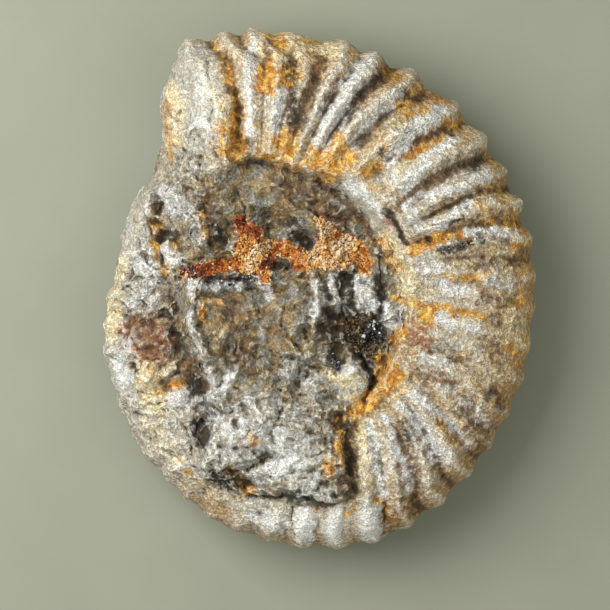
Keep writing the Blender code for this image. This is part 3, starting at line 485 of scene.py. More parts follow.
def stone_points(directions):
    """The stone's surface, in millimetres, along unit directions from its middle."""
    # The share of the sphere above each direction picks the top disc, a rim or the underside.
    area = (1 - directions[:, 2]) / 2
    turn = np.arctan2(directions[:, 1], directions[:, 0])
    sweep = np.radians(np.arange(0, 360, 0.25))
    edge_radius = round_table(OUTER_EDGE, np.degrees(sweep))
    chip_angle, chip_spread, chip_depth = CHIPPED_EDGE
    off_chip = (np.degrees(sweep) - chip_angle) / chip_spread
    edge_radius -= chip_depth * np.exp(-(off_chip**2))
    edge = np.c_[np.cos(sweep), np.sin(sweep)] * edge_radius[:, None] + COIL_AXIS
    edge_turn = np.arctan2(edge[:, 1], edge[:, 0])
    reach = np.interp(turn, edge_turn, np.hypot(*edge.T), period=2 * math.pi)
    rim = RIM_SHARE * np.interp(turn, edge_turn, edge_radius, period=2 * math.pi)

    upper_end = TOP_SHARE + UPPER_SHARE
    lower_end = upper_end + LOWER_SHARE
    is_upper = area <= upper_end
    tilt = np.where(
        is_upper,
        np.clip((area - TOP_SHARE) / UPPER_SHARE, 0, 1),
        np.clip((lower_end - area) / LOWER_SHARE, 0, 1),
    )
    disc = np.where(is_upper, area / TOP_SHARE, (1 - area) / (1 - lower_end))
    tilt = tilt * math.pi / 2
    radius = (reach - rim) * np.sqrt(np.clip(disc, 0, 1))
    radius = np.where(tilt > 0, reach - rim + rim * np.sin(tilt) ** (2 / RIM_POWER), radius)
    x, y = radius * np.cos(turn), radius * np.sin(turn)

    side = np.where(is_upper, 1, -1)
    half = flank_top(x, y) / 2
    rise = np.clip(np.cos(tilt), 0, 1) ** (2 / RIM_POWER)
    z = half * (1 + side * rise)
    outward = np.c_[
        np.sin(tilt) * np.cos(turn), np.sin(tilt) * np.sin(turn), side * np.cos(tilt)
    ]

    # The rock's top takes the place of the flank, and an umbilicus is sunk in the underside.
    on_top = np.where(is_upper, 1 - ramp(tilt, 0.9, 1.5), 0)
    at_x, at_y = stray(np.c_[x, y, z], 0.65, 0.3)
    rock = rock_share(at_x, at_y) * on_top
    z = z + (spline_surface(x, y, ROCK_TOP) - z) * rock
    z = np.where(is_upper, z, z + underside_hollow(x, y))

    # The broken grain, less of it on whole shell, on smooth faces and down the sides.
    angle, coil_radius = coil_polar(x, y)
    share = coil_radius / round_table(OUTER_EDGE, angle)
    spot = np.c_[x, y, z]
    bump = np.zeros(len(x))
    worn = np.interp(angle, *np.array(WORN_SHELL).T, period=360) * ramp(share, 0.4, 0.6)
    broken, still = np.maximum(rock, worn), np.ones(len(x))
    coarse = np.clip(0.75 + 1.1 * lump_noise(spot / 5.5 + 8.8, 46), 0.15, 1.6)
    for patch_x, patch_y, length, width, turned, amount in CALM:
        away = ellipse(at_x, at_y, patch_x, patch_y, length, width, turned)
        still *= 1 - amount * np.exp(-(away**2)) * on_top
    for seed, (size, height) in enumerate(LUMP_NOISE):
        shell_share = SHELL_LARGE if size > 2 else SHELL_SMALL
        part = height * lump_noise(spot / size + 7.3, 11 + seed)
        bump += part * (shell_share + (1 - shell_share) * broken)
    for seed, (size, height) in enumerate(CHIP_NOISE):
        shell_share = SHELL_LARGE if size > 2 else SHELL_SMALL
        bent = spot / size + 3.1
        height *= 1 if size > 2.5 else coarse
        bent += 0.3 * np.array([lump_noise(bent * 1.3, 61 + axis) for axis in range(3)]).T
        part = height * chip_noise(bent, 21 + seed)
        bump += part * (shell_share + (1 - shell_share) * broken)
    bump *= still * (1 - 0.62 * ramp(np.sin(tilt), 0.7, 1))

    # The ribs, unevenly worn, and lower on the underside that the stone rests on.
    wear = 0.85 + 0.3 * lump_noise(spot / 9 + 1.7, 31) + 0.35 * lump_noise(spot / 2.6, 32)
    ribs = rib_height(angle, share) * ramp(share, 0.53, 0.7) * (1 - rock) * wear
    ribs *= round_table(OUTER_EDGE, angle) / 52
    bump += np.where(is_upper, ribs, ribs - 0.25 * (1 - ramp(np.sin(tilt), 0, 0.8)))
    bump += creases_and_lumps(at_x, at_y, spot) * on_top
    bump -= pocket_depth(at_x, at_y) * on_top
    points = spot + outward * bump[:, None]
    points[:, 2] = np.maximum(points[:, 2], 0)
    points[:, 2] -= TOP_WEAR * np.maximum(points[:, 2] - HIGHEST, 0)
    return points


def add_object(name, data):
    """An object of a mesh, a lamp or a camera, placed in the scene."""
    made = bpy.data.objects.new(name, data)
    bpy.context.scene.collection.objects.link(made)
    return made


def make_stone():
    """The stone: a cube's grid wrapped round it, shaped, then reduced where it is smooth."""
    cube = bmesh.new()
    bmesh.ops.create_cube(cube, size=2)
    bmesh.ops.subdivide_edges(cube, edges=cube.edges[:], cuts=FACE_GRID - 1, use_grid_fill=True)
    grid = np.array([vertex.co[:] for vertex in cube.verts])
    faces = [[vertex.index for vertex in face.verts] for face in cube.faces]
    cube.free()
    grid = np.tan(grid * math.pi / 4)
    directions = grid / np.linalg.norm(grid, axis=1)[:, None]
    mesh = bpy.data.meshes.new("ammonite_stone")
    mesh.from_pydata((stone_points(directions) * METRES).tolist(), [], faces)
    made = add_object("ammonite_stone", mesh)
    reduce = made.modifiers.new("reduce", "DECIMATE")
    reduce.ratio = STONE_TRIANGLES / (2 * len(faces))
    reduce.use_collapse_triangulate = True
    graph = bpy.context.evaluated_depsgraph_get()
    made.data = bpy.data.meshes.new_from_object(made.evaluated_get(graph))
    made.modifiers.clear()
    made.data.shade_smooth()
    made.data.set_sharp_from_angle(angle=math.radians(SHARP_ANGLE))
    return made


STONE = make_stone()

# Stains and blooms on the stone, each as strokes: (half width, strength, points along it), from
# iron, clay and lime that water left in the grooves, hollows and cracks. The brown and near-black
# strokes in grooves, cracks and hollows are partly painted shade there.
STROKE_FADE = 0.4  # how fast a stroke fades beyond its half width
OCHRE = (
    (1, 0.7, ((36.6, 12), (38.1, 8.1))), (0.8, 0.6, ((31.2, 15.4), (32.5, 12.7))),
    (0.8, 0.6, ((13.8, -44.8), (15.7, -43.6))), (1.9, 1.5, ((-10.5, 40.1), (-7, 40.9))),
    (1, 1, ((-8.2, 47.1), (-8.4, 42.8), (-9, 37.8))),
    (0.7, 0.55, ((-20.6, 47.1), (-18.6, 44), (-18.2, 39.4))),
    (1.5, 1, ((-15.9, 35.5), (-15.3, 30.5), (-15.9, 26.2))),
    (2.2, 0.7, ((-17.3, 30.9), (-17.5, 26.6))), (0.6, 0.7, ((-17.9, 42.8), (-16.5, 37.1))),
    (1.3, 1, ((-8, 28.9), (-6.1, 26.2))), (0.6, 0.8, ((-12.1, 25.5), (-8.6, 24.7), (-4, 22.6))),
    (1.7, 1.1, ((0.3, 26.6), (1.8, 22.4), (-0.5, 23.9))), (1.2, 0.9, ((3, 28.9), (5.3, 24.7))),
    (0.7, 0.7, ((-0.9, 32), (1.4, 28.6))), (1, 0.7, ((13.8, 35.5), (16.9, 34.7))),
    (0.8, 0.6, ((16.1, 32.8), (20, 34))), (0.9, 0.75, ((8.8, 22.4), (11.5, 23.2), (13.8, 26.6))),
    (0.8, 0.65, ((15.7, 37.4), (20, 38.6), (24.2, 35.5))),
    (0.8, 0.7, ((23.1, 32), (26.2, 30.9), (27.7, 32.8))),
    (0.7, 0.7, ((16.3, 25.1), (21.1, 27.4), (25, 29.3))),
    (0.8, 1.4, ((17.5, 7.3), (20, 8.7), (23.8, 9.7))), (0.6, 0.9, ((26.2, 9.8), (27.7, 10))),
    (0.9, 0.7, ((12.3, 9.3), (13.4, 6.6), (14.6, 3.9))),
    (0.7, 0.7, ((22.3, 2.3), (27.3, 2.1), (31.2, 2.7))), (0.9, 1.3, ((20.4, -4.4), (20.4, -5.6))),
    (0.7, 0.8, ((22.3, -3.7), (25.4, -4.4), (30.8, -5.4))),
    (0.6, 0.6, ((14.6, -2.3), (17.3, -3.1), (18.8, -2.3))),
    (1.1, 0.9, ((16.1, -8.1), (14.2, -10))),
    (1.5, 1.2, ((12.1, -14.9), (13.8, -17), (12.3, -18.1))),
    (1.2, 1.1, ((10.3, -20.1), (8.8, -22), (6.9, -23.9))),
    (0.8, 1, ((4.5, -25.5), (4, -29.3), (4.3, -33.6))), (0.7, 0.9, ((1.4, -33.6), (2, -35.9))),
    (0.9, 1.1, ((-14.8, -37.8), (-14, -39.2))), (0.7, 0.7, ((-17.7, -35.1), (-16.9, -37.1))),
    (0.7, 0.8, ((-13.2, -28.6), (-12.6, -29.5))), (0.8, 0.7, ((-22.7, -3.1), (-22.7, -5.4))),
    (0.6, 0.5, ((-20.7, -2.3), (-19, -3.1))),
    (0.6, 1.3, ((-31.7, 10.8), (-31.9, 8.5), (-31.4, 6.2), (-29.8, 3.5))),
    (0.6, 1.1, ((-31.7, 15.4), (-31.9, 12.7), (-31.9, 10.4))),
    (0.8, 0.5, ((-33.3, -15.1), (-32.3, -18.1), (-31.4, -20.5))),
    (0.9, 1, ((-29.4, -18.9), (-27.1, -18.7))), (0.8, 0.6, ((-27.9, 9.3), (-28.7, 5))),
    (0.6, 0.7, ((-23.4, 15.1), (-22.5, 9.7))),
    (0.7, 0.55, ((-29.8, 35.5), (-29.4, 28.6), (-28.7, 24.7))),
    (0.8, 0.4, ((-35.2, -17.8), (-34.1, -21.6))),
    (1.2, 0.5, ((34.6, 17.8), (37, 14.3), (39.3, 9.3))), (1, 0.8, ((39.3, 10), (41.2, 8.1))),
    (0.9, 0.9, ((37.7, -2.7), (40.4, -3.9))), (0.8, 0.7, ((36.2, -11.2), (37.3, -12.4))),
    (1, 0.45, ((40, 5), (40.6, -0.4))), (1, 0.5, ((39.7, -10), (38.1, -15.1))),
    (0.9, 0.55, ((31.9, 26.6), (34.1, 22.4))), (0.8, 0.6, ((-4, 47.9), (-0.5, 47.5))),
    (0.8, 0.6, ((6.1, 45.2), (8.8, 43.6))), (0.8, 0.6, ((12.6, 41.7), (14.6, 40.1))),
    (0.8, 0.6, ((-10.1, 48.6), (-7.4, 48.6))), (0.7, 0.6, ((-4, -42.5), (-1.6, -42.8))),
    (0.7, 0.6, ((1.8, -42.8), (6.1, -43.2))), (0.9, 0.6, ((11.1, -40.9), (13.8, -44))),
    (0.7, 0.45, ((-24, -37.8), (-26, -35.1), (-27.9, -32.4))),
    (0.7, 0.5, ((23.1, -25.5), (25.4, -28.9))), (0.6, 0.6, ((35.8, -11.6), (37.3, -12.4))),
)
# Brown: iron and clay stain, and partly painted shade along the rib grooves and furrows.
BROWN = (
    (1.6, 0.6, ((28.9, 2.3), (33.1, 0.8))), (1, 0.9, ((-15.3, 36.7), (-15, 32), (-15.7, 27))),
    (1.2, 0.5, ((31.2, 15.4), (32.3, 12.7))), (1.1, 0.5, ((37.5, 12), (38.1, 8.5))),
    (1.6, 0.6, ((-7.4, 19.7), (-4.3, 18.1))),
    (1.3, 0.9, ((13, -44.6), (15.3, -43.8), (17.7, -42.5))),
    (1.1, 0.6, ((29.6, -32), (31.9, -30.5))), (1, 0.6, ((23.1, 36.3), (25, 34.7))),
    (1.7, 1, ((-35.4, -8.1), (-33.7, -9.3), (-32.9, -11.2))),
    (0.3, 0.7, ((12.4, -42.5), (12.6, -45.5), (11.9, -48.6))),
    (0.6, 0.8, ((-2.4, -48.8), (-0.9, -48.6))),
    (0.7, 1, ((-18.2, 44.4), (-16.9, 37.8), (-15.5, 32.4))),
    (0.7, 1.1, ((-14.4, 30.9), (-14.2, 26.6), (-15.2, 23.9))),
    (0.7, 0.9, ((-6.7, 43.6), (-5.7, 37.1), (-5.5, 30.1))),
    (0.6, 1.2, ((-9.7, 47.9), (-10.1, 44), (-10.1, 39.4))),
    (1, 0.9, ((-0.5, 42.1), (-2.8, 34.4), (-4, 30.5))),
    (0.9, 0.8, ((3.8, 39.4), (1.1, 34.4), (-0.9, 30.1))), (0.8, 0.6, ((6.9, 42.8), (4.5, 38.6))),
    (1.1, 0.75, ((11.9, 41.3), (8, 37.8), (4.5, 32))),
    (0.8, 0.8, ((16.1, 37.8), (11.5, 32), (7.6, 27.4))),
    (1.2, 0.7, ((26.2, 32), (20.7, 28.6), (16.1, 25.1))), (0.6, 1.4, ((18, 28.6), (17.9, 27))),
    (1.3, 0.4, ((28.5, 26.6), (24.2, 23.9), (20, 19.7))),
    (1.2, 0.5, ((35, 18.9), (28.9, 17.4), (20.7, 15.6))),
    (1.2, 0.55, ((38.1, 13.9), (30.8, 13.5), (23.1, 10.8))),
    (0.8, 0.8, ((27.3, 9.3), (32.7, 10), (37, 9.3))),
    (1.3, 0.55, ((39.7, 6.2), (34.6, 5), (28.9, 3.9))),
    (0.9, 0.7, ((-12.4, 25.1), (-7.8, 23.5), (-3.6, 21.2))),
    (0.45, 1.1, ((-0.5, 20.1), (5.3, 16.2), (9.7, 10.4), (13, 4.2))),
    (0.4, 1.4, ((12.4, 15.1), (13.8, 13.1), (15.3, 10.4), (16.7, 8.1))),
    (2.4, 0.8, ((-17.9, -3.5), (-15.5, -8.1), (-16.3, -13.1))),
    (1.8, 0.5, ((-11.3, -4.6), (-7, -9.3))), (1.8, 0.25, ((-5.5, -17), (-0.5, -19.3))),
    (2, 0.75, ((-6.3, 19.7), (-1.6, 17), (3.4, 12))),
    (1.2, 0.9, ((-22.1, 17.8), (-20.9, 12.4), (-20.6, 8.1))),
    (0.9, 1.2, ((-31, 17.8), (-31.9, 14.3), (-31.7, 10), (-30.2, 6.9))),
    (0.9, 1.1, ((-36.4, -9.7), (-34.8, -7.7), (-32.9, -7.3))),
    (1.3, 0.6, ((-29, -3.9), (-27.5, -6.6), (-27.9, -10.8))),
    (1.8, 0.85, ((-25.2, -15.1), (-23.8, -18.5), (-24, -22))),
    (1, 1, ((3.4, -25.1), (3.6, -29.3), (4.3, -35.1), (4.9, -39.8))),
    (0.9, 0.9, ((6.1, -23.5), (5.9, -29.3), (6.7, -35.9))),
    (1.4, 0.5, ((14.6, -25.5), (16.5, -31.7), (18, -36.7))),
    (1, 0.8, ((18.8, -26.2), (22.3, -32.4))), (2, 0.8, ((28.1, -23.9), (30.4, -27.8))),
    (1.2, 0.7, ((32.7, -20.1), (34.6, -22.4))),
    (0.9, 0.7, ((13.8, -29.3), (15, -35.1), (15.7, -40.1))),
    (0.9, 0.9, ((-16.7, -25.5), (-16.1, -27))), (0.8, 0.9, ((-13.6, -28.2), (-12.1, -29.3))),
    (0.9, 0.8, ((-15.5, -38.6), (-13.2, -38.2))), (0.9, 1, ((1.8, -4.6), (3.2, -5.4))),
    (1.8, 1.1, ((0.7, -5.8), (3.8, -6.9), (6.1, -8.1))), (1.6, 1, ((4.5, -8.9), (6.9, -11.2))),
    (1, 0.7, ((12.6, -19.3), (10.7, -22), (8.4, -25.1))),
    (0.8, 0.8, ((16.9, -24.7), (19.2, -29.3), (21.5, -34.4))),
    (0.8, 0.8, ((20.2, -22.4), (23.4, -25.9), (26.2, -29.3))),
    (1, 0.7, ((23.8, -15.8), (25.4, -18.5))), (0.9, 0.7, ((31.6, -1.5), (34.6, -2.7))),
    (0.9, 0.7, ((23.8, -12), (26.2, -13.9))), (1, 0.6, ((33.5, -5.4), (34.6, -7.3))),
    (0.8, 0.7, ((18, -16.2), (20, -18.5))), (1.2, 0.6, ((30.8, -9.7), (35, -12))),
    (0.9, 0.8, ((15.7, -29.3), (17.7, -34.4), (18.8, -38.6))),
    (1, 0.5, ((19.2, -17), (24.2, -19.3), (28.9, -21.6))),
    (1, 0.5, ((21.1, -12.4), (28.1, -13.5), (34.6, -15.1))),
    (1, 0.6, ((30.8, -2.3), (34.6, -2.7), (39.3, -3.5))), (0.8, 0.6, ((4.7, 1.2), (4.5, -2.3))),
    (1.2, 0.6, ((-22.5, -0.4), (-20.2, -2.3))),
)
WHITE = (
    (1.6, 0.7, ((-17.1, -26.2), (-13.6, -28.2))), (1.2, 0.6, ((-28.3, 15.8), (-25.6, 14.3))),
    (0.9, 0.5, ((-4.7, -16.6), (-2.4, -18.1))),
    (1.1, 0.9, ((18.6, -25.5), (20.2, -29.3), (21.7, -32.8))),
    (0.9, 0.6, ((10.7, -30.5), (12.3, -35.5))), (1, 0.5, ((20, 39.4), (21.9, 40.9))),
    (1, 0.6, ((7.6, 0), (9.6, -2.3))), (0.7, 0.6, ((-22.7, -12), (-21.1, -16.6), (-19.8, -20.8))),
    (0.5, 0.5, ((-19.8, -20.8), (-17.9, -18.5), (-15.5, -17.8))),
    (0.6, 0.8, ((-24.8, 2.3), (-25.2, -1.5))),
    (0.6, 0.8, ((-25, -4.6), (-24.6, -8.1), (-22.9, -12.4))),
    (0.9, 0.9, ((-28.1, 16.6), (-26, 15.6))), (0.6, 0.55, ((-24, 14.3), (-22.5, 8.1))),
    (1, 1, ((-30.2, 18.5), (-28.3, 17))), (1, 1.2, ((-30.2, 6.9), (-28.7, 5.4))),
    (1.2, 0.85, ((-34.5, 5), (-32.9, 3.1), (-32.5, 0.8))),
    (1.2, 0.8, ((-32.9, -2.3), (-34.8, -1.5), (-36.8, -3.1))),
    (1.1, 0.8, ((-37.5, -11.2), (-38.7, -14.3), (-37.9, -17.8))),
    (1.4, 1, ((-27.9, -21.2), (-26, -21.6))),
    (1, 0.9, ((-17.1, -17), (-19, -19.3), (-20.9, -20.8))), (0.6, 1.2, ((2.2, 1.9), (2.6, -0.4))),
    (0.6, 1, ((3.2, -2.3), (4, -4.4))), (1, 1.5, ((7.8, 1.5), (8.6, -1.5), (9.4, -3.5))),
    (0.7, 0.9, ((-0.9, 1.2), (-0.5, -2.3), (-1.3, -5.8))),
    (0.7, 0.9, ((-11.3, 1.5), (-9.7, -1.5))), (1.1, 1.4, ((13.6, -4.4), (14, -6))),
    (0.6, 0.9, ((-26, 0.8), (-20.9, 0.4), (-15.5, 0))), (0.7, 0.8, ((4.9, -16.2), (6.9, -15.1))),
    (2.6, 0.55, ((-11.3, -27.4), (-6.7, -29.3), (-4.3, -32.4))),
    (2, 0.55, ((-6.7, -33.6), (-4, -37.1), (-0.5, -38.2))),
    (1.2, 0.8, ((-12.4, -35.9), (-8.6, -34.7), (-4.7, -33.6))),
    (1.6, 0.5, ((-20.9, -24.3), (-17.5, -28.6), (-18.2, -32.4))),
    (1.8, 0.4, ((-16.3, -22), (-11.3, -22.8), (-5.9, -24.3))),
    (1.3, 0.8, ((-12.4, -44), (-10.1, -45.2), (-7.8, -44.8))),
    (1.1, 1.7, ((-3.2, -43), (-3, -45.5), (-2.8, -48.1))),
    (0.85, 1.7, ((3, -43), (2.8, -45.5), (2.6, -48.6))),
    (1.15, 1.7, ((9.4, -43.4), (9.7, -45.2), (9.9, -47.5))),
    (0.7, 0.9, ((-10.1, -44.4), (-9, -45.9), (-7.8, -46.7))),
    (0.8, 0.9, ((-12.8, 47.9), (-13.8, 40.1), (-13.6, 29.7))),
    (0.8, 1, ((-7.2, 37.8), (-8.2, 34), (-9, 29.7))),
    (0.7, 0.5, ((4.9, 44.8), (1.1, 38.2), (-2.8, 28.9))),
    (1.4, 0.95, ((8.8, 43.6), (5.7, 39), (2.6, 33.2), (-0.1, 28.2))),
    (0.9, 0.8, ((14.6, 37.1), (10.7, 32.8), (6.5, 28.2))),
    (0.9, 1.1, ((23.1, 34), (18, 30.1), (13, 24.3))),
    (0.8, 0.9, ((25.8, 28.9), (20.7, 25.1), (15.7, 18.5))),
    (0.8, 0.9, ((32.3, 22), (28.1, 19.7), (21.5, 17.8))),
    (0.7, 0.9, ((21.1, 17.8), (18.4, 17), (16.1, 15.8))),
    (0.7, 1, ((28.5, 16.4), (25.4, 14.3), (22.7, 12))),
    (0.8, 0.7, ((17.3, 15.1), (18, 12.7), (20, 10.8))),
    (0.7, 0.9, ((28.1, 10.6), (33.9, 10.8), (37.7, 10.4))), (1, 0.8, ((22.7, 1.5), (24.6, 0))),
    (0.9, 0.7, ((26.2, 0.4), (29.2, -0.8))), (1, 0.7, ((19.2, 3.5), (23.1, 3.9))),
    (0.9, 0.8, ((23.1, -5.8), (25.4, -6.9))), (0.8, 0.7, ((27.3, -7.3), (29.6, -8.1))),
    (1, 0.6, ((31.9, 1.2), (37, 0.4))), (1, 0.7, ((20, -13.1), (24.2, -15.1))),
    (0.9, 0.9, ((15.3, -22.4), (20, -26.6), (24.6, -32.8))),
    (0.9, 0.8, ((12.3, -24.7), (14.2, -30.5), (17.3, -38.2))),
    (0.9, 0.8, ((9.6, -26.6), (10.7, -32.4), (12.3, -39.8))),
    (0.9, 0.7, ((18, -20.8), (23.8, -24.7), (28.5, -30.1))),
    (0.9, 0.6, ((22.7, -18.5), (28.1, -21.6), (32.3, -26.2))),
    (1.6, 0.5, ((-22.1, 38.6), (-22.5, 32.8), (-20.9, 29.3))),
    (1.2, 0.7, ((13.8, 20.8), (16.1, 20.1))), (1, 0.6, ((6.1, 19.7), (9.2, 17), (11.5, 14.3))),
)
# Near black: dirt and dark mineral, and partly painted shade in cracks, grooves and hollows.
DARK = (
    (0.6, 0.6, ((-15.3, 36.3), (-15.2, 32), (-15.7, 28.2))),
    (0.4, 0.45, ((-35.4, -8.7), (-33.9, -9.7))),
    (0.25, 1.3, ((12.8, 14.5), (14, 12.7), (15.3, 10.2), (16.5, 8.3))),
    (0.9, 0.65, ((-5.9, 43.2), (-5.1, 37.8), (-5.1, 31.7))),
    (0.6, 0.9, ((10.7, 40.5), (6.9, 36.7), (4.5, 32.8))),
    (0.8, 0.9, ((15.3, 37.8), (16.1, 37.1))), (0.6, 0.8, ((11.5, 26.2), (13, 25.1))),
    (0.5, 0.8, ((-14, 29.7), (-13.6, 26.6))), (0.7, 1, ((-31.4, 16.6), (-31.7, 13.1))),
    (0.9, 0.9, ((-31, 10), (-28.3, 10))), (0.9, 1, ((-19.8, 10.8), (-19, 8.9))),
    (1.1, 0.8, ((-5.1, 10.4), (-3.2, 9.3), (-2.4, 8.1))),
    (0.8, 0.9, ((-6.3, 12.4), (-4.3, 12.7))), (1, 1, ((-21.7, 0.8), (-18.2, 0.4), (-14.4, 1.5))),
    (0.6, 0.8, ((-9.4, 3.9), (-5.9, 4.2))), (0.7, 0.9, ((3.8, 2.3), (4.9, -2.3))),
    (0.6, 0.8, ((6.1, 3.1), (6.5, 0.4))), (0.8, 1.2, ((5.5, 2.3), (5.3, -1.2), (6.3, -4.4))),
    (0.9, 1.1, ((11.1, 1.5), (11.5, -2.3), (10.7, -5))), (0.5, 1, ((1.1, 1.5), (1.4, -2.3))),
    (2.4, 0.9, ((8.8, -6.6), (10.3, -8.9))), (1, 0.9, ((-0.5, -4.6), (1.8, -5.4), (4.5, -5))),
    (1.1, 0.8, ((0.3, -8.1), (2.6, -10))), (1.6, 0.9, ((5.7, -9.7), (8.8, -12))),
    (1, 1.1, ((2.2, -12.7), (3.4, -15.1))), (0.6, 1.2, ((8, -13.5), (9.6, -16.2), (9.9, -18.9))),
    (1.2, 1, ((-24.4, -17.8), (-23.6, -21.2))), (1.2, 1.1, ((-23.3, -26.2), (-22.9, -29.7))),
    (0.8, 1, ((-21.7, -23.2), (-19.8, -24.3))), (1.4, 0.8, ((-20.2, -36.3), (-15.9, -37.4))),
    (1, 0.9, ((-6.3, -40.1), (-0.9, -40.5), (2.2, -40.1))),
    (0.5, 1, ((-29, -5.4), (-29.8, -4.8))), (0.7, 1, ((-28.7, -8.1), (-27.5, -8.9))),
    (0.5, 0.8, ((-36.4, -15.2), (-35.6, -16.2))),
    (0.7, 0.7, ((23.1, 7.1), (27.3, 8.1), (30.8, 9.1))), (0.4, 0.8, ((23.1, 11.6), (27.3, 13.3))),
    (0.7, 0.9, ((4.9, -26.2), (4.9, -31.3), (6.1, -35.9))),
    (0.9, 0.8, ((-12.4, -31.7), (-10.1, -31.7))), (0.8, 0.6, ((-27.1, -9.3), (-26.3, -12.4))),
    (1, 0.6, ((-11.3, 14.3), (-10.1, 11.6))), (0.9, 0.6, ((30.4, 24.7), (28.9, 22.4))),
    (0.6, 0.8, ((16.1, -26.2), (17.7, -29.7))), (0.35, 0.9, ((-39.5, 5), (-39.1, 4.2))),
    (0.35, 0.9, ((-34.8, 6.6), (-34.5, 5.8))),
    (0.3, 0.8, ((-38.3, -0.4), (-35.8, 1.9), (-32.5, 2.3))),
)
CREAM = (
    (1.2, 0.8, ((-2, 48.2), (2.6, 46.1), (5.7, 45.2))), (1.8, 0.7, ((37.3, -6.6), (39.1, -10.8))),
    (1.2, 0.9, ((-11.3, 48.4), (-4, 47.7), (2.6, 45.7), (7.2, 44))),
    (1.2, 0.5, ((22.3, -16.6), (24.2, -18.9))), (1.5, 0.9, ((12.3, 9.3), (14, 5.8))),
    (1.7, 0.9, ((-33.9, -14.7), (-31.4, -17))),
    (1.2, 0.9, ((-28.7, 38.6), (-27.5, 34), (-27.5, 28.6))),
    (1, 0.9, ((-7.4, 46.7), (-7.8, 42.8))), (0.8, 0.8, ((-12.4, 47.9), (-11.3, 44))),
    (1.5, 0.9, ((-40.2, -1.5), (-40.2, -5.4), (-40.6, -8.9))),
    (1, 0.8, ((-39.1, 2.3), (-38.3, 5))),
    (1.6, 1.1, ((-33.3, -15.1), (-32.5, -18.5), (-31.4, -21.6))),
    (1.2, 0.8, ((-34.5, -17.4), (-33.7, -20.8), (-31.7, -23.9))),
    (1, 0.8, ((-31, 7.3), (-29.4, 5))),
    (1.5, 0.5, ((-33.3, -25.5), (-31, -29.3), (-27.5, -33.6))),
    (1.4, 0.7, ((26.2, 31.7), (30.4, 30.1), (33.1, 27.4))),
    (1, 0.9, ((30.2, 16.6), (35.4, 17.4), (38.9, 15.4))),
    (0.9, 0.8, ((15.3, 22.8), (20.2, 26.2), (25.6, 28.9))),
    (2.5, 0.3, ((35.6, 7.3), (37, -0.4), (36.2, -8.1))),
    (1, 0.8, ((9.2, -25.5), (8, -29.3), (8.2, -37.1))), (1, 0.7, ((-3.6, 46.7), (-4.7, 44))),
    (0.9, 0.6, ((-22.1, 37.8), (-19, 36.3), (-18.2, 30.5))),
    (1.4, 0.8, ((14.6, 6.2), (16.5, 1.5), (16.1, -2.3))),
    (1, 0.7, ((-18.6, -7.7), (-16.3, -6.9))), (1, 0.6, ((0.3, -15.8), (3.8, -17))),
    (2.2, 0.5, ((5.7, -17.8), (5.3, -20.1))),
)
PINK = (
    (2.2, 0.65, ((17.3, -7.7), (19.2, -10))), (2.6, 1.2, ((-34.8, -9.3), (-33.3, -10.8))),
    (1.2, 0.5, ((12.6, 13.9), (14.2, 11.6))), (0.9, 0.6, ((3.8, 42.8), (1.4, 38.2))),
    (1.4, 0.5, ((20.7, -16.2), (23.1, -17.8))),
)
PALE = (
    (1.4, 1, ((27.3, 22), (30.4, 23.7))), (2, 0.9, ((-17.1, -26.2), (-13.6, -28.2))),
    (2.2, 0.9, ((-5.5, -16.6), (-2, -18.9))), (1.8, 0.9, ((-28.3, 15.8), (-25.6, 14.3))),
    (1.5, 0.8, ((22.3, 19.7), (27.3, 22.4), (31.6, 25.1))),
    (4, 0.7, ((21.1, 5), (24.2, -2.3), (23.1, -12))), (7, 0.9, ((-25.2, 40.1), (-24.4, 30.5))),
    (6, 0.8, ((-32.9, 18.9), (-34.8, 11.2), (-36.4, 3.5))),
    (6, 1, ((-39.1, -12), (-34.8, -23.5), (-27.9, -33.2))),
    (7, 0.8, ((-17.5, -29.3), (-5.9, -31.3))),
    (4, 0.8, ((-13.6, -43.2), (-4, -44.8), (9.6, -44.8))),
    (3.4, 0.5, ((4.9, -18.1), (6.1, -20.1))), (2, 0.8, ((4.9, 20.1), (9.9, 15.4), (14.2, 9.7))),
    (6, 0.6, ((23.4, -0.4), (26.9, -6.9))), (6, 0.6, ((20, 21.6), (16.9, 15.1), (19.2, 7.3))),
    (5, 0.5, ((12.3, -30.9), (17.7, -35.1))), (4, 0.6, ((-11.3, 36.3), (-4, 34.4), (5.7, 32.4))),
)


# Where iron from the crystals of the seam has coloured it.
RUST_BORDER = (
    (-27.1, 3.9), (-24.4, 4.6), (-21.7, 5), (-19, 5.4), (-17.5, 5.4), (-16.7, 7.5), (-15.7, 9.8),
    (-16.7, 12.2), (-16.5, 13.7), (-14.8, 13.9), (-12.6, 12.2), (-10.9, 11.4), (-10.9, 9.1),
    (-6.5, 9.1), (-4, 7.5), (-2.2, 6.9), (-0.3, 8.5), (-0.1, 11.4), (-1.3, 13.1), (-0.3, 13.9),
    (1.8, 12.7), (4.3, 10.6), (6.7, 10), (9, 7.7), (10.1, 5.4), (9.9, 3.9), (8.8, 1.7),
    (7.6, 3.1), (6.5, 5.4), (4, 3.5), (0.3, 4.1), (-2.2, 2.9), (-5.1, 3.7), (-6.1, 5.4), (-8, 6),
    (-9.6, 4.8), (-9.9, 1.5), (-11.1, 0.6), (-11.9, 2.5), (-14.8, 2.9), (-18, 3.5), (-21.3, 2.3),
    (-24.4, 1.7), (-26.7, 1.9),
)


def strokes(x, y, marks):
    """0 to about 1: how much of a stain lies at each point."""
    total = np.zeros(len(x))
    for width, strength, points in marks:
        away, _ = near_line(x, y, points)
        total = np.maximum(total, strength * np.exp(-((away / width) ** 2) * STROKE_FADE))
    return total


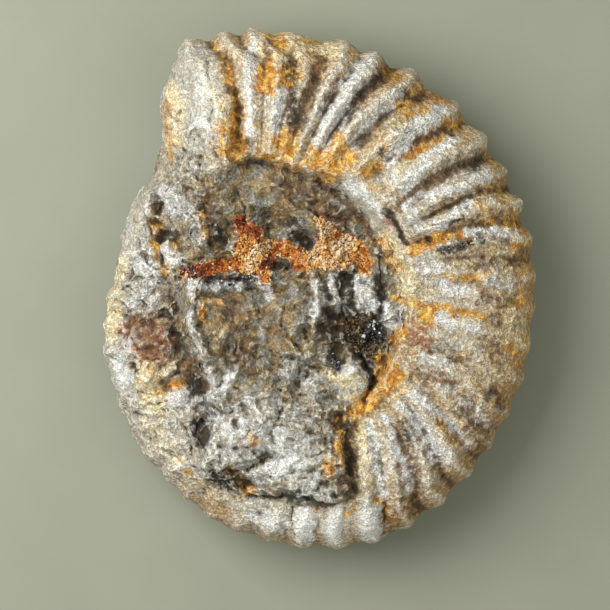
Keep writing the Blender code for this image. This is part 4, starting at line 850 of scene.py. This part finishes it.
def hollowness(mesh, points, rounds):
    """How far each vertex lies under its smoothed surroundings, as a share of the usual depth."""
    ends = np.empty(len(mesh.edges) * 2, np.int32)
    mesh.edges.foreach_get("vertices", ends)
    first, second = ends.reshape(-1, 2).T
    near = np.bincount(first, minlength=len(points)) + np.bincount(second, minlength=len(points))
    normals = np.empty(len(points) * 3, np.float32)
    mesh.vertex_normals.foreach_get("vector", normals)
    smooth = points.copy()
    for _ in range(rounds):
        total = np.zeros_like(smooth)
        for axis in range(3):
            total[:, axis] += np.bincount(first, smooth[second, axis], len(points))
            total[:, axis] += np.bincount(second, smooth[first, axis], len(points))
        smooth = 0.3 * smooth + 0.7 * total / near[:, None]
    depth = np.sum((smooth - points) * normals.reshape(-1, 3), axis=1)
    return depth / np.percentile(np.abs(depth), 68)


def give_masks(stone):
    """Stores where each stain, bloom and wear lies, and where hollows and ribs get painted shade
    and highlight, as values on the stone's vertices.
    """
    mesh = stone.data
    points = np.empty(len(mesh.vertices) * 3, np.float32)
    mesh.vertices.foreach_get("co", points)
    points = points.reshape(-1, 3).astype(float) / METRES
    x, y, z = points.T
    at_x, at_y = stray(points, 0.6, 0.35)
    angle, radius = coil_polar(x, y)
    share = radius / round_table(OUTER_EDGE, angle)
    upper = ramp(z - flank_top(x, y) / 2, -3.0, 1.0)
    rock = rock_share(x, y) * upper
    worn = np.interp(angle, *np.array(WORN_SHELL).T, period=360)
    shell = (1 - rock) * (1 - 0.75 * worn * ramp(share, 0.4, 0.6))
    masks = {
        "shell": shell,
        "rib": 0.5 + 0.5 * rib_height(angle, share) * ramp(share, 0.5, 0.66) * (1 - rock),
        "rust": np.clip(0.5 + depth_inside(at_x, at_y, RUST_BORDER) / 1.6, 0, 1) * upper,
        "rim": ramp(share, 0.84, 0.97) * upper * (1 - 0.85 * worn),
        "calm": upper * np.max([
            amount * np.exp(-ellipse(at_x, at_y, *patch) ** 2) for *patch, amount in CALM
        ], axis=0),
    }
    # The hollow, dip and deep values drive painted shade in hollows and painted highlight on
    # rises.
    for name, rounds in (("hollow", 4), ("dip", 16), ("deep", 60)):
        masks[name] = 0.5 + 0.2 * hollowness(mesh, points, rounds)
    stains = {
        "ochre": OCHRE, "brown": BROWN, "white": WHITE, "dark": DARK, "cream": CREAM,
        "pink": PINK, "pale": PALE,
    }
    for name, marks in stains.items():
        masks[name] = strokes(at_x, at_y, marks) * upper
    for name, values in masks.items():
        layer = mesh.attributes.new(name, "FLOAT", "POINT")
        layer.data.foreach_set("value", np.clip(values, 0, 1.5).astype(np.float32))


give_masks(STONE)


def linear(red, green, blue):
    """A colour for a socket, from the 0 to 255 numbers of a paint chart."""
    shares = [value / 255 for value in (red, green, blue)]
    return (*[((v + 0.055) / 1.055) ** 2.4 if v > 0.04 else v / 12.92 for v in shares], 1)


def add_node(tree, kind, inputs=(), **settings):
    """A node with its settings made and its inputs, by name or place, linked or set."""
    made = tree.nodes.new(kind)
    for name, value in settings.items():
        setattr(made, name, value)
    for name, value in dict(inputs).items():
        if isinstance(value, bpy.types.NodeSocket):
            tree.links.new(value, made.inputs[name])
        else:
            made.inputs[name].default_value = value
    return made


def blend(tree, share, under, over, mode="MIX"):
    """Lays one colour over another by a share."""
    made = add_node(tree, "ShaderNodeMix", data_type="RGBA", blend_type=mode)
    for place, value in ((0, share), (6, under), (7, over)):
        if isinstance(value, bpy.types.NodeSocket):
            tree.links.new(value, made.inputs[place])
        else:
            made.inputs[place].default_value = value
    return made.outputs[2]


def sums(tree, operation, first, second):
    return add_node(tree, "ShaderNodeMath", {0: first, 1: second}, operation=operation).outputs[0]


def between(tree, value, low, high):
    """0 where a value is under low, 1 over high."""
    inputs = {"Value": value, "From Min": low, "From Max": high}
    return add_node(tree, "ShaderNodeMapRange", inputs, interpolation_type="SMOOTHSTEP").outputs[0]


def spread(tree, value, low, high):
    """A value of 0 to 1, spread from low to high."""
    inputs = {"Value": value, "To Min": low, "To Max": high}
    return add_node(tree, "ShaderNodeMapRange", inputs).outputs[0]


def relief(tree, height, distance):
    """A normal roughened by a height of 0 to 1, over a distance in millimetres."""
    inputs = {"Distance": distance * METRES, "Height": height}
    return add_node(tree, "ShaderNodeBump", inputs).outputs[0]


def new_material(name):
    """A material, its node tree, and a function that feeds its shader's inputs."""
    made = bpy.data.materials.new(name)
    made.use_nodes = True
    tree = made.node_tree

    def feed(inputs):
        for title, value in inputs.items():
            tree.links.new(value, tree.nodes["Principled BSDF"].inputs[title])

    return made, tree, feed


def new_group(name, inputs, outputs):
    """An empty node group: inputs as (name, value), outputs as names."""
    group = bpy.data.node_groups.new(name, "ShaderNodeTree")
    for title, value in inputs:
        socket = group.interface.new_socket(title, in_out="INPUT", socket_type="NodeSocketFloat")
        socket.default_value = value
    for title in outputs:
        group.interface.new_socket(title, in_out="OUTPUT", socket_type="NodeSocketFloat")
    given = group.nodes.new("NodeGroupInput").outputs
    return group, given, group.nodes.new("NodeGroupOutput").inputs


def mineral_grain():
    """Mottling of one size, in metres, pushed to light and dark by Low and High."""
    inputs = (("Size", 0.001), ("Low", 0.35), ("High", 0.65), ("Offset", 0.0))
    group, given, put = new_group("mineral_grain", inputs, ("Grain",))
    place = add_node(group, "ShaderNodeTexCoord").outputs["Object"]
    shift = add_node(group, "ShaderNodeVectorMath", {0: place, 1: given["Offset"]}).outputs[0]
    scale = sums(group, "DIVIDE", 1.0, given["Size"])
    inputs = {"Vector": shift, "Scale": scale, "Detail": 3.5, "Roughness": 0.56}
    inputs["Distortion"] = 0.12
    noise = add_node(group, "ShaderNodeTexNoise", inputs).outputs[0]
    group.links.new(between(group, noise, given["Low"], given["High"]), put["Grain"])
    return group


def ragged_edge():
    """A mask whose edge is broken up by grain of one size, in metres."""
    inputs = (("Mask", 0.0), ("Size", 0.001), ("Ragged", 0.5), ("Softness", 0.15))
    group, given, put = new_group("ragged_edge", inputs, ("Mask",))
    place = add_node(group, "ShaderNodeTexCoord").outputs["Object"]
    scale = sums(group, "DIVIDE", 1.0, given["Size"])
    inputs = {"Vector": place, "Scale": scale, "Detail": 2.5, "Roughness": 0.5}
    noise = add_node(group, "ShaderNodeTexNoise", inputs).outputs[0]
    swing = sums(group, "MULTIPLY", sums(group, "SUBTRACT", noise, 0.5), given["Ragged"])
    broken = sums(group, "ADD", given["Mask"], sums(group, "MULTIPLY", swing, 2.0))
    low = sums(group, "SUBTRACT", 0.5, given["Softness"])
    high = sums(group, "ADD", 0.5, given["Softness"])
    group.links.new(between(group, broken, low, high), put["Mask"])
    return group


GRAIN_GROUP = mineral_grain()
EDGE_GROUP = ragged_edge()


def grain(tree, size, low=0.35, high=0.65, offset=0.0):
    """Mottling with marks of one size, in millimetres."""
    inputs = {"Size": size * METRES, "Low": low, "High": high, "Offset": offset}
    return add_node(tree, "ShaderNodeGroup", inputs, node_tree=GRAIN_GROUP).outputs[0]


def ragged(tree, mask, size, amount, softness):
    """A mask with its edge broken up, by grain of one size, in millimetres."""
    inputs = {"Mask": mask, "Size": size * METRES, "Ragged": amount, "Softness": softness}
    return add_node(tree, "ShaderNodeGroup", inputs, node_tree=EDGE_GROUP).outputs[0]


def stone_material():
    """Grey and brown rock, cream shell, then their stains, worn edges, hollows and grain; hollows
    and rib grooves are darkened partly as painted shade, rises and rib crests lightened partly as
    painted highlight.
    """
    made, tree, feed = new_material("fossil_stone")

    def mask(name):
        return add_node(tree, "ShaderNodeAttribute", attribute_name=name).outputs["Fac"]

    def times(first, second):
        return sums(tree, "MULTIPLY", first, second)

    broad, wide = grain(tree, 7.0, 0.42, 0.58), grain(tree, 4.0, 0.46, 0.6, 0.21)
    middle, patch = grain(tree, 1.8, 0.42, 0.58, 0.03), grain(tree, 2.6, 0.43, 0.59, 0.33)
    small, fine = grain(tree, 0.8, 0.36, 0.64, 0.05), grain(tree, 0.32, 0.36, 0.64, 0.07)
    rock = blend(tree, middle, linear(124, 108, 74), linear(168, 154, 122))
    rock = blend(tree, times(patch, 0.75), rock, linear(148, 153, 153))
    shell = blend(tree, middle, linear(176, 157, 122), linear(212, 199, 168))
    shell = blend(tree, times(patch, 0.6), shell, linear(202, 201, 196))
    shell = blend(tree, times(broad, 0.5), shell, linear(208, 187, 148))
    rim = ragged(tree, mask("rim"), 3.0, 0.6, 0.45)
    shell = blend(tree, times(rim, 0.7), shell, linear(190, 156, 108))
    colour = blend(tree, mask("shell"), rock, shell)
    colour = blend(tree, times(wide, 0.2), colour, linear(190, 158, 108))
    pale = ragged(tree, mask("pale"), 2.0, 0.6, 0.4)
    colour = blend(tree, times(pale, 0.65), colour, linear(200, 202, 198))

    # Pale rib crests and brown grooves: partly the shell's own colour, partly painted highlight on
    # the crests and painted shade in the grooves.
    pale_crest_and_highlight = ragged(tree, between(tree, mask("rib"), 0.6, 1.0), 1.0, 0.6, 0.4)
    groove_stain_and_shade = ragged(tree, between(tree, mask("rib"), 0.4, 0.0), 1.0, 0.6, 0.4)
    colour = blend(tree, times(groove_stain_and_shade, 0.8), colour, linear(118, 90, 54))
    colour = blend(tree, times(pale_crest_and_highlight, 0.5), colour, linear(230, 222, 204))
    # Each stain: its mask, how much it covers, the size and softness of its edge, its colour.
    yellow = blend(tree, middle, linear(196, 144, 58), linear(230, 190, 104))
    for name, share, size, softness, over in (
        ("cream", 0.85, 1.2, 0.3, linear(230, 219, 186)),
        ("pink", 0.8, 1.2, 0.25, linear(168, 116, 82)),
        ("brown", 0.75, 1.3, 0.3, blend(tree, middle, linear(84, 58, 28), linear(136, 104, 62))),
        ("rust", 0.9, 0.8, 0.25, blend(tree, small, linear(150, 80, 34), linear(222, 160, 96))),
        ("ochre", 0.92, 1.3, 0.3, yellow),
        ("dark", 0.85, 0.8, 0.3, linear(46, 42, 34)),
        ("white", 0.85, 1.6, 0.4, linear(225, 228, 229)),
    ):
        stain = ragged(tree, mask(name), size, 0.85, softness)
        colour = blend(tree, times(stain, share), colour, over)

    # Hollows of three sizes are darkened, partly as dirt and partly as painted shade, and what
    # stands up is lightened, partly as bleaching and partly as painted highlight.
    rough_share = sums(tree, "SUBTRACT", 1.0, times(mask("calm"), 0.7))
    for name, share, over in (
        ("deep", 0.6, linear(100, 80, 46)),
        ("dip", 0.4, linear(84, 70, 44)),
        ("hollow", 0.4, linear(70, 60, 40)),
    ):
        low = times(between(tree, mask(name), 0.58, 0.95), rough_share)
        colour = blend(tree, times(low, share), colour, over)
    for name, share in (("dip", 0.38), ("hollow", 0.28)):
        bleach_and_highlight = times(between(tree, mask(name), 0.42, 0.1), rough_share)
        colour = blend(tree, times(bleach_and_highlight, share), colour, linear(230, 228, 218))
    lit = (1.21, 1.21, 1.21, 1)
    tone = blend(tree, small, (0.77, 0.76, 0.74, 1), lit)
    colour = blend(tree, rough_share, colour, tone, "MULTIPLY")
    tone = blend(tree, fine, (0.72, 0.71, 0.69, 1), lit)
    colour = blend(tree, 1.0, colour, tone, "MULTIPLY")
    colour = add_node(tree, "ShaderNodeGamma", {"Color": colour, "Gamma": 1.31}).outputs[0]
    colour = blend(tree, 1.0, colour, (0.965, 0.965, 0.965, 1), "MULTIPLY")
    height = times(sums(tree, "ADD", small, times(fine, 0.25)), rough_share)
    rough = spread(tree, fine, 0.72, 0.95)
    feed({"Base Color": colour, "Roughness": rough, "Normal": relief(tree, height, 0.25)})
    return made


STONE.data.materials.clear()
STONE.data.materials.append(stone_material())
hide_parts("ammonite")
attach(STONE, "root")

# ---------------------------------------------------------------------------------------------
# The rust-coloured seam. Small blunt crystals, stained by iron from dark red to apricot, line a
# crack across the rock. They grew on the stone where they are and stand 0.3 to 0.7 mm off it.

# Their colour, from 0, dark red, over rust and orange to 1, cream: (x, y, reach, tone).
RUST_TONES = (
    (-25.8, 2.9, 2.4, 0), (-23.3, 3.5, 2, 0.14), (-20.6, 4.2, 2, 0.34), (-15, 12.7, 1.8, 0.26),
    (-11.7, 10.8, 1.6, 0.24), (-15.2, 8.1, 1.8, 0.62), (-13.2, 5.6, 1.8, 0.9),
    (-16.3, 4.2, 1.6, 0.48), (-10.3, 5, 1.5, 0.08), (-10.9, 1.9, 1.4, 0.5),
    (-10.1, 8.3, 1.4, 0.8), (-7.8, 7.3, 1.5, 0.3), (-5.9, 7.9, 1.6, 0.52), (-4, 6.2, 1.8, 0.5),
    (-1.4, 6.2, 1.8, 0.88), (-0.3, 12.7, 1.4, 0.66), (1.3, 11.4, 1.6, 0.98),
    (3.2, 10.6, 1.4, 0.4), (1.8, 8.3, 1.5, 0.66), (4.7, 8.7, 2, 1.15), (4, 6.6, 1.5, 0.76),
    (6.9, 7.5, 1.6, 0.5), (8.8, 5, 1.8, 0.6), (8.8, 3.1, 1.6, 0.48), (-0.1, 4.8, 1.6, 0.72),
)
RUST_PITCH, RUST_SIZE = 0.35, 0.4  # between crystals, and across a middling one


def crystal_shape(sides, blunt):
    """A short prism with a pointed or blunt top, one unit wide and tall: corners and faces."""
    turns = np.arange(sides) * 2 * math.pi / sides
    ring = np.c_[np.cos(turns), np.sin(turns)] * 0.5
    low = np.c_[ring, np.full(sides, -0.3)]
    high = np.c_[ring * 0.95, np.full(sides, 0.45)]
    top = np.c_[ring * blunt, np.full(sides, 0.92)]
    corners = np.r_[low, high, top]
    faces = []
    for ring_at in (0, sides):
        for side in range(sides):
            first, after = ring_at + side, ring_at + (side + 1) % sides
            faces.append((first, after, after + sides, first + sides))
    faces.append(tuple(range(2 * sides, 3 * sides)))
    return corners, faces


def scatter(border, pitch, seed, margin):
    """Jittered places over a bordered patch, this far inside its wandering edge or more."""
    random = np.random.default_rng(seed)
    corners = np.array(border)
    low, high = corners.min(axis=0) - pitch, corners.max(axis=0) + pitch
    x, y = np.meshgrid(np.arange(low[0], high[0], pitch), np.arange(low[1], high[1], pitch))
    x = x.ravel() + random.uniform(-0.5, 0.5, x.size) * pitch
    y = y.ravel() + random.uniform(-0.5, 0.5, y.size) * pitch
    wander = lump_noise(np.c_[x, y, np.zeros(len(x))] / 1.9, seed) * 0.5
    wander += lump_noise(np.c_[x, y, np.zeros(len(x))] / 0.8, seed + 1) * 0.6
    keep = depth_inside(x, y, border) + wander > margin
    return x[keep], y[keep]


STONE_TREE = BVHTree.FromObject(STONE, bpy.context.evaluated_depsgraph_get())


def grow_crystals(name, x, y, sizes, tones, lean, seed):
    """Crystals seated on the stone at each place, each a little sunk in and turned its own way."""
    random = np.random.default_rng(seed)
    shapes = ((4, 0.25), (6, 0.3), (5, 0.45), (4, 0.6))
    kinds = [crystal_shape(sides, blunt) for sides, blunt in shapes]
    points, faces, shades = [], [], []
    for at_x, at_y, size, tone in zip(x, y, sizes, tones):
        above = Vector((at_x * METRES, at_y * METRES, 1))
        spot, normal, _, _ = STONE_TREE.ray_cast(above, Vector((0, 0, -1)))
        corners, sides = kinds[random.integers(len(kinds))]
        axis = np.array(normal) * 0.7 + (0, 0, 0.5) + random.normal(0, lean, 3)
        axis /= np.linalg.norm(axis)
        across = np.cross(axis, random.normal(size=3))
        across /= np.linalg.norm(across)
        turned = np.c_[across, np.cross(axis, across), axis]
        stretch = (size, size * random.uniform(0.7, 1.1), size * random.uniform(0.7, 1.3))
        start = len(shades)
        points.append((corners * stretch) @ turned.T + np.array(spot) / METRES)
        faces += [[index + start for index in side] for side in sides]
        shades += [tone] * len(corners)
    points = np.concatenate(points)
    mesh = bpy.data.meshes.new(name)
    mesh.from_pydata((points * METRES).tolist(), [], faces)
    layer = mesh.attributes.new("tone", "FLOAT", "POINT")
    layer.data.foreach_set("value", np.array(shades, np.float32))
    return add_object(name, mesh)


def rust_crystals():
    """The seam's crystals, each toned by the named places near it, some of them clear."""
    random = np.random.default_rng(61)
    x, y = scatter(RUST_BORDER, RUST_PITCH, 62, 0.0)
    at_x, at_y, reach, tones = np.array(RUST_TONES).T[:, :, None]
    near = np.exp(-2 * (((x - at_x) ** 2 + (y - at_y) ** 2) / reach**2))
    tone = (near * tones).sum(axis=0) / (near.sum(axis=0) + 1e-6)
    cloud = 0.34 * lump_noise(np.c_[x, y, x] / 1.5, 64)
    tone += cloud + 0.14 * lump_noise(np.c_[x, y, y] / 0.7, 65)
    tone += 0.03 + random.normal(0, 0.05, len(x))
    is_clear = random.random(len(x)) < 0.06
    tone = np.where(is_clear, random.uniform(0.85, 1, len(x)), np.clip(tone, 0.02, 1))
    sizes = random.lognormal(math.log(RUST_SIZE), 0.3, len(x))
    return grow_crystals("rust_crystals", x, y, sizes, tone, 0.4, 63)


RUST = rust_crystals()


def rust_material():
    """Iron-stained crystal, dusty in places."""
    made, tree, feed = new_material("rust_crystals")
    tone = add_node(tree, "ShaderNodeAttribute", attribute_name="tone").outputs["Fac"]
    ramp_node = add_node(tree, "ShaderNodeValToRGB", {"Fac": tone})
    stops = ramp_node.color_ramp.elements
    stops[0].position, stops[0].color = 0.0, linear(44, 16, 10)
    stops[1].position, stops[1].color = 1.0, linear(255, 240, 212)
    for place, colour in (
        (0.14, linear(116, 36, 16)), (0.32, linear(176, 84, 30)), (0.5, linear(222, 142, 50)),
        (0.68, linear(244, 194, 108)), (0.86, linear(252, 224, 172)),
    ):
        stops.new(place).color = colour
    dust = blend(tree, grain(tree, 0.3, 0.3, 0.7), linear(192, 184, 172), linear(252, 247, 238))
    colour = blend(tree, 0.8, ramp_node.outputs[0], dust, "MULTIPLY")
    rough = spread(tree, grain(tree, 0.5), 0.25, 0.6)
    bump = relief(tree, grain(tree, 0.2), 0.06)
    feed({"Base Color": colour, "Roughness": rough, "Normal": bump})
    return made


RUST.data.materials.append(rust_material())
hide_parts("rust_crystal_seam")
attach(RUST, "root")

# ---------------------------------------------------------------------------------------------
# The dark druse. Black to smoky crystals fill a small vug in the rock beside the ribs, where
# water left them, with a few more in the cracks about it; some are coloured near white as painted
# glints.

DRUSE_PITCH, DRUSE_SIZE = 0.42, 0.44  # between crystals, and across a middling one
DRUSE_HEART = (10.5, -8.3, 2.5)  # the clean black crystals; about them they are brown with clay
# Thin lines of smaller crystals in cracks: (half width, points), thrown at each line's box and
# kept where they land on it, so many to a millimetre of its half width.
CRACK_SIZE, CRACK_THROWS, CRACK_KEPT = 0.34, 900, 90
DRUSE_CRACKS = (
    (0.8, ((-22.1, 1.7), (-18.2, 1), (-13.6, 1.7), (-11.3, 2.7))),
    (0.5, ((23.1, 7.1), (27.3, 8.1), (31, 9.1))), (0.7, ((2, -13.3), (3.2, -14.9))),
    (0.35, ((-26.3, 3.9), (-25.2, 3.1))),
)


def druse_crystals():
    """The vug's crystals: a tone up to 0.42 is clayey, 0.5 to 0.8 black to smoky, 0.95 a painted
    glint.
    """
    random = np.random.default_rng(71)
    x, y = scatter(DRUSE_BORDER, DRUSE_PITCH, 72, 0.3)
    sizes = random.lognormal(math.log(DRUSE_SIZE), 0.28, len(x))
    heart_x, heart_y, heart_reach = DRUSE_HEART
    away = np.hypot(x - heart_x, y - heart_y) + random.normal(0, 0.4, len(x))
    painted_glint = random.random(len(x)) < np.where(y + x < heart_x + heart_y, 0.08, 0.35)
    black = np.where(painted_glint, 0.95, random.uniform(0.5, 0.8, len(x)))
    tones = np.where(away < heart_reach, black, random.uniform(0, 0.42, len(x)))
    return grow_crystals("druse_crystals", x, y, sizes, tones, 0.45, 73)


def crack_crystals():
    """The thin lines of crystals in the cracks; those toned over 0.88 come out as painted glints.
    """
    random = np.random.default_rng(75)
    places = []
    for width, points in DRUSE_CRACKS:
        ends = np.array(points)
        low, high = ends.min(axis=0) - width, ends.max(axis=0) + width
        x, y = (random.uniform(low[axis], high[axis], CRACK_THROWS) for axis in (0, 1))
        away, _ = near_line(x, y, points)
        keep = np.flatnonzero(away < width)[: int(CRACK_KEPT * width)]
        places.append(np.c_[x, y][keep])
    x, y = np.concatenate(places).T
    sizes = random.lognormal(math.log(CRACK_SIZE), 0.25, len(x))
    tones = random.uniform(0.45, 0.93, len(x))
    return grow_crystals("crack_crystals", x, y, sizes, tones, 0.5, 76)


DRUSE = druse_crystals()
CRACK_LINES = crack_crystals()


def druse_material():
    """Brown clay, black to smoky crystal, or near white as a painted glint, as each crystal's tone
    says.
    """
    made, tree, feed = new_material("dark_druse")
    tone = add_node(tree, "ShaderNodeAttribute", attribute_name="tone").outputs["Fac"]
    clay = blend(tree, between(tree, tone, 0.0, 0.42), linear(46, 38, 24), linear(120, 102, 70))
    smoky = blend(tree, between(tree, tone, 0.5, 0.8), linear(22, 24, 30), linear(84, 84, 86))
    smoky = blend(tree, between(tree, tone, 0.44, 0.46), clay, smoky)
    # Tones over 0.88 turn near white: a painted glint.
    smoky = blend(tree, between(tree, tone, 0.88, 0.9), smoky, linear(226, 232, 240))
    feed({"Base Color": smoky, "Roughness": spread(tree, grain(tree, 0.4), 0.06, 0.3)})
    return made


DRUSE_FINISH = druse_material()
for crystals in (DRUSE, CRACK_LINES):
    crystals.data.materials.append(DRUSE_FINISH)
    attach(crystals, "root")
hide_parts("druse_crust")

# ---------------------------------------------------------------------------------------------
# The table that the fossil lies on, in plain pale paint, the soft light and the camera.

FLOOR_SIDE = 3.0


def floor():
    """The table's top, its paint very slightly clouded."""
    mesh = bpy.data.meshes.new("floor")
    half = FLOOR_SIDE / 2
    corners = [(-half, -half, 0), (half, -half, 0), (half, half, 0), (-half, half, 0)]
    mesh.from_pydata(corners, [], [(0, 1, 2, 3)])
    paint, tree, feed = new_material("floor_paint")
    cloud = grain(tree, 30, 0.3, 0.7)
    feed({"Base Color": blend(tree, cloud, linear(130, 134, 118), linear(134, 138, 122))})
    tree.nodes["Principled BSDF"].inputs["Roughness"].default_value = 0.7
    mesh.materials.append(paint)
    return add_object("floor", mesh)


floor()

LIT_SPOT = Vector((0, 0, 0.01))  # what both lamps point at


def add_light(name, place, size, power, colour):
    """A soft square lamp, aimed at the fossil."""
    lamp = bpy.data.lights.new(name, "AREA")
    lamp.size, lamp.energy, lamp.color = size, power, colour
    made = add_object(name, lamp)
    made.location = place
    made.rotation_euler = (LIT_SPOT - Vector(place)).to_track_quat("-Z", "Y").to_euler()


add_light("key", (-0.23, 0.105, 0.335), 0.32, 2.44, (1.0, 0.985, 0.98))
add_light("fill", (0.35, -0.3, 0.6), 0.6, 0.88, (0.97, 0.985, 1.0))

world = bpy.data.worlds.new("studio")
world.use_nodes = True
sky = world.node_tree.nodes["Background"].inputs
sky["Color"].default_value = (1.0, 0.985, 0.86, 1)
sky["Strength"].default_value = 0.5
bpy.context.scene.world = world
bpy.context.scene.view_settings.view_transform = "Standard"

# The camera looks straight down, a metre above the fossil's middle height.
CAMERA_PLACE = (-0.003, -0.0033)
CAMERA_DISTANCE, MIDDLE_HEIGHT = 1.0, 0.020
CAMERA_VIEW = 0.1177  # width that it sees at that height
SENSOR_WIDTH = 36
lens = bpy.data.cameras.new("camera")
lens.sensor_width = SENSOR_WIDTH
lens.lens = SENSOR_WIDTH * CAMERA_DISTANCE / CAMERA_VIEW
lens.clip_start = 0.05
camera = add_object("camera", lens)
camera.location = (*CAMERA_PLACE, MIDDLE_HEIGHT + CAMERA_DISTANCE)
bpy.context.scene.camera = camera
